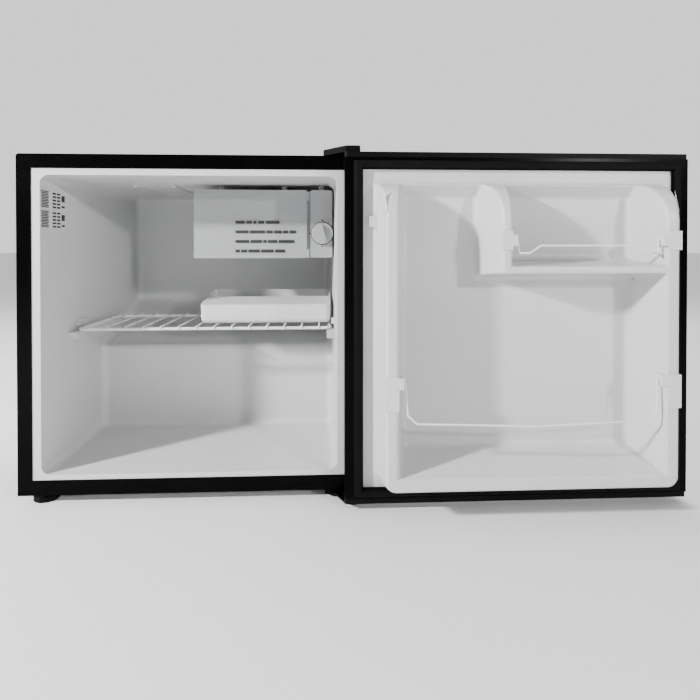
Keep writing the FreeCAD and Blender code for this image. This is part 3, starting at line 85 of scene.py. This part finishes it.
class Finish:
    """A material: constants go on the shader's own sockets, and what varies is fed to it."""

    def __init__(self, name, **constants):
        self.material = bpy.data.materials.new(name)
        self.material.use_nodes = True
        self.tree = self.material.node_tree
        self.shader = self.tree.nodes["Principled BSDF"]
        for socket, value in constants.items():
            self.shader.inputs[socket.replace("_", " ")].default_value = value
        self.place = self.node("ShaderNodeTexCoord", output="Object")

    def node(self, kind, settings=None, inputs=(), output=0):
        """Adds a node, sets it up, fills or links its sockets and gives one output back."""
        made = self.tree.nodes.new(kind)
        for name, value in (settings or {}).items():
            setattr(made, name, value)
        pairs = inputs.items() if isinstance(inputs, dict) else enumerate(inputs)
        for key, value in pairs:
            if isinstance(value, Wire):
                self.tree.links.new(value.socket, made.inputs[key])
            else:
                made.inputs[key].default_value = value
        return Wire(self, made.outputs[output])

    def noise(self, size, detail=2.0, stretch=(1, 1, 1)):
        """Cloudy grain from 0 to 1 whose lumps are about `size` metres across."""
        place = self.node("ShaderNodeMapping", inputs={"Vector": self.place, "Scale": stretch})
        return self.node("ShaderNodeTexNoise", inputs={"Vector": place, "Scale": 1 / size, "Detail": detail})

    def blend(self, share, first, second):
        """A colour between two colours."""
        return self.node("ShaderNodeMix", {"data_type": "RGBA"}, {0: share, 6: first, 7: second}, output=2)

    def sharpen(self, wire, low, high):
        """Spreads the part of a value between low and high over 0 to 1."""
        return self.node("ShaderNodeMapRange", inputs=[wire, low, high, 0.0, 1.0])

    def bump(self, height, depth, strength=1.0, under=None):
        """A surface relief `depth` metres deep, laid over the relief `under`."""
        sockets = {"Height": height, "Distance": depth, "Strength": strength}
        if under:
            sockets["Normal"] = under
        return self.node("ShaderNodeBump", inputs=sockets)

    def feed(self, **sockets):
        """Links what varies over the surface to the shader's sockets."""
        for socket, wire in sockets.items():
            self.tree.links.new(wire.socket, self.shader.inputs[socket.replace("_", " ")])
        return self


def rgb(red, green, blue):
    return (red, green, blue, 1.0)


finishes = {}
print("shader arithmetic ready, finishes so far:", len(finishes))


# %% [markdown]
# The shell is thin steel with a baked black enamel. Sprayed enamel is never mirror flat:
# it has a fine orange peel, a slow drift in gloss, and a little pale dust in the peel. An
# image could hold such marks, but noise at two sizes gives them on every face at once.

# %% Black enamel and black mouldings
def black_finish(name, peel_size, peel_depth, gloss, dark, dust, shine=0.07):
    finish = Finish(name, Specular_IOR_Level=shine)
    peel = finish.noise(peel_size, 3.0)
    drift = finish.noise(0.12, 2.0)
    dusting = finish.sharpen(finish.noise(0.03, 6.0), 0.52, 0.9) * finish.sharpen(peel, 0.35, 0.75)
    finish.feed(Base_Color=finish.blend(dusting * dust, dark, rgb(0.11, 0.11, 0.115)),
                Roughness=drift * 0.16 + peel * 0.1 + gloss + dusting * 0.15,
                Normal=finish.bump(peel, peel_depth))
    finishes[name] = finish.material


black_finish("black_enamel", 0.0013, 0.00002, 0.1, rgb(0.0012, 0.0012, 0.0013), 0.02, 0.035)
black_finish("black_plastic", 0.0007, 0.00005, 0.36, rgb(0.003, 0.003, 0.0032), 0.06)
black_finish("black_rubber", 0.0016, 0.00004, 0.5, rgb(0.003, 0.003, 0.003), 0.05)
black_finish("black_tube", 0.0010, 0.00004, 0.32, rgb(0.008, 0.008, 0.008), 0.8)
black_finish("compressor_black", 0.0018, 0.0001, 0.24, rgb(0.007, 0.007, 0.007), 0.9)
print("black finishes:", len(finishes))


# %% [markdown]
# The linings are vacuum formed from white polystyrene sheet. The sheet keeps a soft
# pebble from its tool, drawn thin places go slightly grey, and handling leaves faint
# marks that show in the gloss more than in the colour. One function gives them all, and
# each plastic only changes its tint, the size of its pebble and its gloss.

# %% White linings and plastics
def white_finish(name, light, shade, pebble, depth, gloss):
    finish = Finish(name, Specular_IOR_Level=0.42)
    cloud = finish.noise(0.09, 3.0)
    speck = finish.noise(pebble, 2.0)
    wipe = finish.noise(0.02, 5.0, (1, 1, 0.25))
    tint = finish.sharpen(cloud, 0.3, 0.75) * 0.6 + finish.sharpen(wipe, 0.6, 0.9) * 0.4
    finish.feed(Base_Color=finish.blend(tint, light, shade),
                Roughness=cloud * 0.12 + wipe * 0.14 + gloss,
                Normal=finish.bump(cloud, 0.0004, 0.6, finish.bump(speck, depth)))
    finishes[name] = finish.material


white_finish("white_liner", rgb(0.62, 0.62, 0.62), rgb(0.56, 0.565, 0.57), 0.0022, 0.00005, 0.24)
white_finish("white_plastic", rgb(0.66, 0.66, 0.66), rgb(0.60, 0.605, 0.61), 0.0010, 0.00003, 0.26)
# part of grey_plastic's darkness is the plastic's own grey and part is painted shade on the parts that take
# it, such as the freezer flap
white_finish("grey_plastic", rgb(0.33, 0.335, 0.34), rgb(0.29, 0.295, 0.30), 0.0009, 0.00006, 0.3)
white_finish("white_wire", rgb(0.80, 0.80, 0.80), rgb(0.70, 0.70, 0.70), 0.0030, 0.00005, 0.14)
white_finish("clear_rubber", rgb(0.62, 0.63, 0.64), rgb(0.52, 0.53, 0.54), 0.0015, 0.00005, 0.3)
print("with the white ones:", sorted(finishes))


# %% [markdown]
# Bare metals: zinc coated sheet shows frost-like spangles, rolled aluminium has lines
# along the roll, screws are bright zinc, and copper pipes tarnish in brown clouds. Voronoi
# cells make the spangles, and a stretched noise makes the rolled lines.

# %% Bare metals
zinc = Finish("galvanised", Metallic=1.0)
flakes = zinc.node("ShaderNodeTexVoronoi", inputs={"Vector": zinc.place, "Scale": 140.0}, output="Color")
flake = zinc.node("ShaderNodeSeparateColor", inputs=[flakes])
zinc.feed(Base_Color=zinc.blend(flake, rgb(0.42, 0.43, 0.44), rgb(0.62, 0.63, 0.64)),
          Roughness=flake * 0.2 + zinc.noise(0.01, 4.0) * 0.15 + 0.28)
finishes["galvanised"] = zinc.material

sheet = Finish("aluminium_sheet", Metallic=1.0)
rolled = sheet.noise(0.0012, 3.0, (1, 0.02, 1))
sheet.feed(Base_Color=sheet.blend(sheet.noise(0.05, 3.0), rgb(0.60, 0.61, 0.62), rgb(0.72, 0.73, 0.74)),
           Roughness=rolled * 0.25 + 0.28, Normal=sheet.bump(rolled, 0.00003))
finishes["aluminium_sheet"] = sheet.material

screw = Finish("zinc_screws", Metallic=1.0)
turned = screw.noise(0.0006, 2.0)
screw.feed(Base_Color=screw.blend(turned, rgb(0.45, 0.45, 0.44), rgb(0.62, 0.62, 0.60)),
           Roughness=turned * 0.2 + 0.22)
finishes["zinc_screws"] = screw.material

copper = Finish("copper_tube", Metallic=1.0)
tarnish = copper.sharpen(copper.noise(0.012, 5.0), 0.35, 0.75)
copper.feed(Base_Color=copper.blend(tarnish, rgb(0.62, 0.32, 0.20), rgb(0.30, 0.15, 0.09)),
            Roughness=tarnish * 0.25 + 0.22)
finishes["copper_tube"] = copper.material
print("with the metals:", len(finishes))


# %% [markdown]
# Two dull materials show only at cut edges and round the door: rigid yellow foam, which is
# full of fine cells, and the brown-black strip magnet inside the seal. Both are matt, so a
# rough surface with a fine noise is enough.

# %% Foam and magnet
foam = Finish("foam")
cells = foam.noise(0.0012, 3.0)
foam.feed(Base_Color=foam.blend(foam.noise(0.02, 3.0), rgb(0.62, 0.52, 0.30), rgb(0.74, 0.66, 0.42)),
          Roughness=cells * 0.1 + 0.85, Normal=foam.bump(cells, 0.0004))
finishes["foam"] = foam.material

strip = Finish("magnet_strip")
dull = strip.noise(0.002, 3.0)
strip.feed(Base_Color=strip.blend(dull, rgb(0.03, 0.027, 0.025), rgb(0.06, 0.055, 0.05)),
           Roughness=dull * 0.1 + 0.7)
finishes["magnet_strip"] = strip.material
print("with foam and magnet:", len(finishes))


# %% [markdown]
# The record says what each part of the frame is made of. Its shape is already right, so the
# part only swaps its plain material for the finish of the same name. The drip tray is the
# one exception: it shares the flap's plastic, but takes the whiter finish as painted light.

# %% Put a finish on every part of the frame
slot_of = {row["node"]: row["material_slot"] for row in frame["record"]["subparts"]}
# the drip tray's whiter finish is painted light: a lighter copy of the flap's plastic
finish_of = {**slot_of, "drip_tray": "white_plastic"}
for name, part in parts.items():
    part.data.materials.clear()
    part.data.materials.append(finishes[finish_of[name]])
print("finished", len(slot_of), "parts with", len(finishes), "finishes")


# %% [markdown]
# New pieces are shaped as by hand. Each starts as a flat plate in the right place,
# is turned into its form in edit mode, and ends with its place in its mesh. These helpers
# hold the steps that every such piece repeats.

# %% Helpers for plates
def settle(name, body, finish, *stands_for):
    """Names the active piece, moves its place into its mesh and lets it ride on a body."""
    piece = bpy.context.object
    bpy.ops.object.transform_apply(location=True, rotation=True, scale=True)
    piece.name = piece.data.name = name
    piece.data.materials.clear()
    piece.data.materials.append(finishes[finish])
    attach(piece, body)
    if stands_for:
        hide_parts(*stands_for)
    bpy.ops.object.select_all(action="DESELECT")
    return piece


def apply_bevel(width, segments, angle=40):
    """Rounds the active piece's edges that turn by more than the angle."""
    bevel = bpy.context.object.modifiers.new("soft edge", "BEVEL")
    bevel.width, bevel.segments, bevel.limit_method = width, segments, "ANGLE"
    bevel.angle_limit = math.radians(angle)
    bpy.ops.object.modifier_apply(modifier=bevel.name)
    bpy.ops.object.shade_smooth_by_angle(angle=math.radians(30))


def plate(centre, size, thickness, turn=(0, 0, 0)):
    """A thin upright plate whose face looks along -Y before it is turned."""
    bpy.ops.mesh.primitive_plane_add(size=1, location=centre, rotation=(math.pi / 2, 0, 0))
    bpy.context.object.scale = (size[0], size[1], 1)
    bpy.ops.object.transform_apply(location=False, rotation=True, scale=True)
    bpy.ops.object.mode_set(mode="EDIT")
    bpy.ops.mesh.select_all(action="SELECT")
    bpy.ops.mesh.extrude_region_move(TRANSFORM_OT_translate={"value": (0, -thickness, 0)})
    bpy.ops.mesh.select_all(action="SELECT")
    bpy.ops.mesh.normals_make_consistent(inside=False)
    bpy.ops.object.mode_set(mode="OBJECT")
    bpy.context.object.rotation_euler = turn
    bpy.ops.object.transform_apply(location=False, rotation=True, scale=True)


print("helpers for plates: settle, apply_bevel, plate")


# %% [markdown]
# The inside of the door is one vacuum formed sheet, and such a sheet has no sharp edge:
# hot plastic rounds every corner as it is drawn over the tool. The frame holds the exact
# flats, so the front skin is lifted from it, its edges are rolled with a bevel, and a
# solidify gives the sheet its thickness back.

# %% Lift a skin from the frame
def copied(name):
    """A merged copy of a part of the frame, as the active object in edit mode, all selected."""
    piece = bpy.data.objects.new("copy", parts[name].data.copy())
    bpy.context.scene.collection.objects.link(piece)
    piece.select_set(True)
    bpy.context.view_layer.objects.active = piece
    bpy.ops.object.mode_set(mode="EDIT")
    bpy.ops.mesh.select_mode(type="FACE")
    bpy.ops.mesh.select_all(action="SELECT")
    bpy.ops.mesh.remove_doubles(threshold=0.00001)


def pick_faces(test):
    """Selects the faces of the active mesh that pass a test, from edit mode."""
    bpy.ops.mesh.select_all(action="DESELECT")
    mesh = bmesh.from_edit_mesh(bpy.context.object.data)
    for face in mesh.faces:
        face.select_set(bool(test(face)))
    bmesh.update_edit_mesh(bpy.context.object.data)


def front_skin(name):
    """Keeps only the side of a formed sheet that looks furthest towards -Y."""
    copied(name)
    bpy.ops.mesh.dissolve_limited(angle_limit=math.radians(0.6))
    low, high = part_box(name)

    def is_rim(face):
        middle = face.calc_center_median()
        edge_gap = min(middle.x - low.x, high.x - middle.x, middle.z - low.z, high.z - middle.z)
        return abs(face.normal.y) < 0.1 and edge_gap < 0.0001

    pick_faces(is_rim)
    bpy.ops.mesh.delete(type="FACE")
    bpy.ops.mesh.select_all(action="DESELECT")
    bpy.ops.mesh.separate(type="LOOSE")
    bpy.ops.object.mode_set(mode="OBJECT")
    skins = list(bpy.context.selected_objects)
    front = min((s for s in skins if s.data.polygons), key=lambda s: min(v.co.y for v in s.data.vertices))
    for skin in skins:
        if skin is not front:
            bpy.data.objects.remove(skin)
    bpy.context.view_layer.objects.active = front


front_skin("door_liner")
print("front skin of the door lining:", len(bpy.context.object.data.polygons), "faces")


# %% [markdown]
# A bevel goes wrong on large faces with many corners, so the skin is cut into triangles
# first. The roll stays under half of the rack's front, which is 8.2 mm thick, because two
# rolled edges meet there.

# %% Door lining
ROLL_WIDTH, SHEET_THICKNESS = 0.0036, 0.0012

bpy.ops.object.mode_set(mode="EDIT")
bpy.ops.mesh.select_all(action="SELECT")
bpy.ops.mesh.quads_convert_to_tris(quad_method="BEAUTY", ngon_method="BEAUTY")
bpy.ops.object.mode_set(mode="OBJECT")
roll = bpy.context.object.modifiers.new("rolled edges", "BEVEL")
roll.width, roll.segments = ROLL_WIDTH, 4
roll.limit_method, roll.angle_limit = "ANGLE", math.radians(24)
roll.use_clamp_overlap = False
bpy.ops.object.modifier_apply(modifier=roll.name)
wall = bpy.context.object.modifiers.new("sheet", "SOLIDIFY")
wall.thickness, wall.offset = SHEET_THICKNESS, -1
bpy.ops.object.modifier_apply(modifier=wall.name)
bpy.ops.object.shade_smooth_by_angle(angle=math.radians(40))
even = bpy.context.object.modifiers.new("even shading", "WEIGHTED_NORMAL")
even.keep_sharp = True
bpy.ops.object.modifier_apply(modifier=even.name)
liner = settle("door_lining", "door", "white_liner", "door_liner")
print("door lining:", len(liner.data.polygons), "faces")


# %% [markdown]
# The door seal is a soft extrusion, welded at its corners: a foot pressed into the door,
# a bellows that lets it give, and a wide lip that holds the magnet. Each part of it is a
# ring, a flat frame drawn by insetting a plate and pulled out to its depth. Five rings
# stack up to the seal: the foot, the two walls of the bellows, the lip and its face.

# %% Door seal
def seal_ring(inset, width, near, far):
    """A mitred frame inside the seal's outline, pulled from one depth to the other."""
    low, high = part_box("door_gasket")
    middle, size = (low + high) / 2, high - low
    place = (middle.x, near, middle.z)
    bpy.ops.mesh.primitive_plane_add(size=1, location=place, rotation=(math.pi / 2, 0, 0))
    bpy.context.object.scale = (size.x - 2 * inset, size.z - 2 * inset, 1)
    bpy.ops.object.transform_apply(location=True, rotation=True, scale=True)
    bpy.ops.object.mode_set(mode="EDIT")
    bpy.ops.mesh.select_mode(type="FACE")
    bpy.ops.mesh.select_all(action="SELECT")
    bpy.ops.mesh.inset(thickness=width, depth=0)
    bpy.ops.mesh.delete(type="FACE")
    bpy.ops.mesh.select_all(action="SELECT")
    bpy.ops.mesh.extrude_region_move(TRANSFORM_OT_translate={"value": (0, far - near, 0)})
    bpy.ops.mesh.select_all(action="SELECT")
    bpy.ops.mesh.normals_make_consistent(inside=False)
    bpy.ops.object.mode_set(mode="OBJECT")
    apply_bevel(0.0009, 3)


# inset from the outline, width, and the depths at which each ring starts and ends
FOOT = (0.0, 0.0125, 0.0, 0.0022)
OUTER_BELLOWS = (0.0026, 0.0025, 0.0020, 0.0048)
INNER_BELLOWS = (0.0074, 0.0025, 0.0020, 0.0048)
LIP = (0.0012, 0.0101, 0.0044, 0.0060)
LIP_FACE = (0.0026, 0.0080, 0.0058, 0.0082)

low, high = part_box("door_gasket")
rings = []
for inset, width, near, far in (FOOT, OUTER_BELLOWS, INNER_BELLOWS, LIP, LIP_FACE):
    seal_ring(inset, width, high.y - near, high.y - far)
    rings.append(bpy.context.object)
for ring in rings:
    ring.select_set(True)
bpy.ops.object.join()
seal = settle("door_seal", "door", "black_rubber", "door_gasket")
print("door seal:", len(rings), "rings,", len(seal.data.polygons), "faces")


# %% [markdown]
# Labels and printed marks are the last small things to add. They could be painted in a
# material, but thin plates stay crisp from close by and ride on the right body. Each
# group of marks becomes one piece.

# %% Plates in groups
def bars(spots, thickness, name, body, finish):
    """Thin plates, each given as (centre, width, height, turn), joined into one piece."""
    made = []
    for centre, width, height, turn in spots:
        plate(centre, (width, height), thickness, turn)
        made.append(bpy.context.object)
    for one in made:
        one.select_set(True)
    bpy.ops.object.join()
    return settle(name, body, finish)


print("helper for groups of plates: bars")


# %% [markdown]
# Paper and ink are both matt. Paper has short fibres that tint it a little and lift the
# surface by a hair, and ink on plastic takes the same fine mottle, only darker.

# %% Paper and ink
def printed_finish(name, light, dark):
    finish = Finish(name, Specular_IOR_Level=0.3)
    fibre = finish.noise(0.0008, 3.0)
    finish.feed(Base_Color=finish.blend(fibre, light, dark), Roughness=fibre * 0.15 + 0.55,
                Normal=finish.bump(fibre, 0.00002))
    finishes[name] = finish.material


printed_finish("label_paper", rgb(0.70, 0.70, 0.70), rgb(0.62, 0.62, 0.62))
printed_finish("print_ink", rgb(0.02, 0.02, 0.02), rgb(0.04, 0.04, 0.04))
print("paper and ink added, finishes:", len(finishes))


# %% [markdown]
# Two paper labels are stuck one above the other on the left wall near the door. The wall
# closes in towards the back, because a formed lining needs draft to leave its tool, so
# they are turned by the same small angle.

# %% Wall labels
# the wall's distance from the middle at the front, and how it closes in towards the back
WALL_FRONT, FRONT_Y, WALL_SLOPE = 0.2045, -0.200, 9.6 / 352
TURN = (0, 0, math.pi / 2 - math.atan(WALL_SLOPE))
PAPER_LIFT, PRINT_LIFT = 0.0002, 0.0005
LABEL_HEIGHTS = (0.4225, 0.3945)


def on_left_wall(y, z, off):
    return (-WALL_FRONT + (y - FRONT_Y) * WALL_SLOPE + off, y, z)


# a turned plate grows out of the wall with a thickness below zero
bars([(on_left_wall(-0.1635, z, PAPER_LIFT), 0.068, 0.0265, TURN) for z in LABEL_HEIGHTS],
     -PAPER_LIFT, "wall_labels", "cabinet", "label_paper")
print("wall labels:", len(LABEL_HEIGHTS))


# %% [markdown]
# The print on the labels is too small to read. Each label gets a block of short lines, two
# columns of small boxes and two solid blocks, all of them plain bars.

# %% Print on the wall labels
INK_THICKNESS = 0.00015

rows = []


def mark(y, z, width, height):
    rows.append((on_left_wall(y, z, PRINT_LIFT), width, height, TURN))


for z in LABEL_HEIGHTS:
    for row in range(11):
        mark(-0.187, z + 0.0112 - row * 0.0022, 0.020 - 0.002 * (row % 3), 0.0014)
    for column in range(2):
        for row in range(5):
            mark(-0.163 + column * 0.0115, z + 0.0098 - row * 0.0049, 0.0092, 0.0026)
    mark(-0.139, z + 0.004, 0.009, 0.009)
    mark(-0.139, z - 0.008, 0.009, 0.003)
bars(rows, -INK_THICKNESS, "wall_label_print", "cabinet", "print_ink")
print("print on the labels:", len(rows), "marks")


# %% [markdown]
# Four lines of print on the freezer flap are kept as plain bars, broken like words. Each
# line is a list of word lengths in units, so that the bars read as print from a distance
# and spell nothing from close by.

# %% Print on the flap
FLAP_LINES = ((15, 9, 5, 10, 22), (21, 24, 10, 12, 8, 10), (22, 18, 5, 15, 25), (7, 9, 18, 20, 16))
LINE_START, TOP_LINE, LINE_STEP = 0.0455, 0.3945, 0.0152
LENGTH_UNIT, WORD_GAP, LETTER_HEIGHT = 0.00098, 0.0024, 0.0046
SURFACE_LIFT = 0.0001

flap_low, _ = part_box("freezer_flap")
words = []
for row, lengths in enumerate(FLAP_LINES):
    x = LINE_START
    for length in lengths:
        width = length * LENGTH_UNIT
        centre = (x + width / 2, flap_low.y - SURFACE_LIFT, TOP_LINE - row * LINE_STEP)
        words.append((centre, width, LETTER_HEIGHT, (0, 0, 0)))
        x += width + WORD_GAP
bars(words, INK_THICKNESS, "flap_print", "flap", "print_ink")
print("flap print:", len(FLAP_LINES), "lines,", len(words), "bars")


# %% [markdown]
# Four dots around the thermostat dial show its settings. They are small square plates, set
# on a circle just outside the dial.

# %% Dots around the dial
DOT_SIZE, DOT_REACH_X, DOT_REACH_Z = 0.0022, 0.0198, 0.0205
RAISED_INK = 0.0002

knob_low, knob_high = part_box("thermostat_knob")
hub = (knob_low + knob_high) / 2
face_low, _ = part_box("thermostat_housing")
dots = []
for angle in (math.radians(degrees) for degrees in (90, 180, 270, 30)):
    spot = (hub.x + DOT_REACH_X * math.cos(angle), face_low.y, hub.z + DOT_REACH_Z * math.sin(angle))
    dots.append((spot, DOT_SIZE, DOT_SIZE, (0, angle, 0)))
bars(dots, RAISED_INK, "dial_dots", "cabinet", "print_ink")
print("dial dots:", len(dots))


# %% [markdown]
# A dark ring of painted shade goes round the dial, where the gap between knob and housing lies in shadow. A
# disc is inset, its middle is deleted, and the ring that is left is pulled out by the thickness of the ink,
# just outside the knob.

# %% Painted shade of the gap around the dial
RING_INNER, RING_OUTER = 0.0172, 0.0184

bpy.ops.mesh.primitive_circle_add(vertices=64, radius=RING_OUTER, fill_type="NGON",
                                  location=(hub.x, face_low.y - SURFACE_LIFT, hub.z),
                                  rotation=(math.pi / 2, 0, 0))
bpy.ops.object.mode_set(mode="EDIT")
bpy.ops.mesh.select_mode(type="FACE")
bpy.ops.mesh.select_all(action="SELECT")
bpy.ops.mesh.inset(thickness=RING_OUTER - RING_INNER, depth=0)
bpy.ops.mesh.delete(type="FACE")
bpy.ops.mesh.select_all(action="SELECT")
bpy.ops.mesh.extrude_region_move(TRANSFORM_OT_translate={"value": (0, -RAISED_INK, 0)})
bpy.ops.mesh.select_all(action="SELECT")
bpy.ops.mesh.normals_make_consistent(inside=False)
bpy.ops.object.mode_set(mode="OBJECT")
# the dark ring is painted shade of the gap round the knob, made with the ink finish
dial_gap_shade = settle("dial_gap_shade", "cabinet", "print_ink")
print("dial ring:", len(dial_gap_shade.data.polygons), "faces")


# %% [markdown]
# The camera stands a little above the room's middle and near the door's hinge, and looks
# straight in. It tips down by only half a degree. Its lens is shifted down instead, so that
# the sides of the cabinet stay upright as in a product picture.

# %% Camera
FOCAL_SHARE = 522.09 / 700
SENSOR = 36

camera = bpy.data.objects.new("camera", bpy.data.cameras.new("camera"))
bpy.context.scene.collection.objects.link(camera)
bpy.context.scene.camera = camera
camera.data.sensor_width = SENSOR
camera.data.lens = FOCAL_SHARE * SENSOR
camera.data.shift_x, camera.data.shift_y = 0.0009, -0.1415
camera.data.clip_start, camera.data.clip_end = 0.05, 30
camera.location = (0.1875, -0.9366, 0.3571)
yaw, pitch = math.radians(2.66), math.radians(0.56)
aim = Vector((math.sin(yaw) * math.cos(pitch), math.cos(yaw) * math.cos(pitch), -math.sin(pitch)))
camera.rotation_mode = "QUATERNION"
camera.rotation_quaternion = aim.to_track_quat("-Z", "Y")
print("camera:", round(camera.data.lens, 2), "mm lens at", tuple(round(v, 3) for v in camera.location))


# %% [markdown]
# Two small lamps stand in front, a strong one on the left and a weak one on the right, and
# their crisp shadows show how deep the room and the racks are. A large lamp behind lights
# the coil and the compressor.

# %% Lamps
def lamp(name, place, aim_at, size, watts):
    """A round area lamp that looks at a point."""
    light = bpy.data.objects.new(name, bpy.data.lights.new(name, "AREA"))
    bpy.context.scene.collection.objects.link(light)
    light.data.shape, light.data.size, light.data.energy = "DISK", size, watts
    light.location = place
    light.rotation_mode = "QUATERNION"
    light.rotation_quaternion = (Vector(aim_at) - Vector(place)).to_track_quat("-Z", "Y")


ROOM_AND_DOOR = (0.2, -0.2, 0.3)
lamp("key", (-1.54, -1.1, 1.06), ROOM_AND_DOOR, 0.14, 92)
lamp("fill", (1.36, -1.76, 0.84), ROOM_AND_DOOR, 0.12, 18)
lamp("back", (0.3, 1.8, 1.7), (0.2, 0, 0.25), 1.2, 60)
print("lamps:", [light.name for light in bpy.data.lights])


# %% [markdown]
# The world gives the soft light of a studio. Its strength follows the Y of the direction:
# it is dim in front, so that the black enamel stays black, and bright behind, so that the
# floor is pale.

# %% World
FRONT_LEVEL, BACK_LEVEL = 0.2, 1.2

world = bpy.data.worlds.new("studio")
bpy.context.scene.world = world
world.use_nodes = True
sky = world.node_tree
place = sky.nodes.new("ShaderNodeTexCoord")
split = sky.nodes.new("ShaderNodeSeparateXYZ")
sweep = sky.nodes.new("ShaderNodeMapRange")
sweep.inputs["From Min"].default_value, sweep.inputs["From Max"].default_value = -0.7, 0.45
sweep.inputs["To Min"].default_value, sweep.inputs["To Max"].default_value = FRONT_LEVEL, BACK_LEVEL
sky.links.new(place.outputs["Generated"], split.inputs[0])
sky.links.new(split.outputs["Y"], sweep.inputs["Value"])
sky.links.new(sweep.outputs[0], sky.nodes["Background"].inputs["Strength"])
sky.nodes["Background"].inputs["Color"].default_value = rgb(1.0, 1.0, 1.0)
print("world:", FRONT_LEVEL, "in front,", BACK_LEVEL, "behind")


# %% [markdown]
# The floor is one wide disc with a faint cloud in its paint. It reaches far out, so that
# its edge stays near the horizon from every side. It is a stage and not part of the fridge.

# %% Floor
bpy.ops.mesh.primitive_circle_add(vertices=96, radius=30, fill_type="NGON")
floor = bpy.context.object
floor.name = "floor"
paint = Finish("floor_paint")
paint.feed(Base_Color=paint.blend(paint.noise(0.4, 3.0), rgb(0.86, 0.86, 0.86), rgb(0.9, 0.9, 0.9)),
           Roughness=paint.noise(0.05, 3.0) * 0.1 + 0.6)
floor.data.materials.append(paint.material)
print("floor:", floor.dimensions.x, "m across")
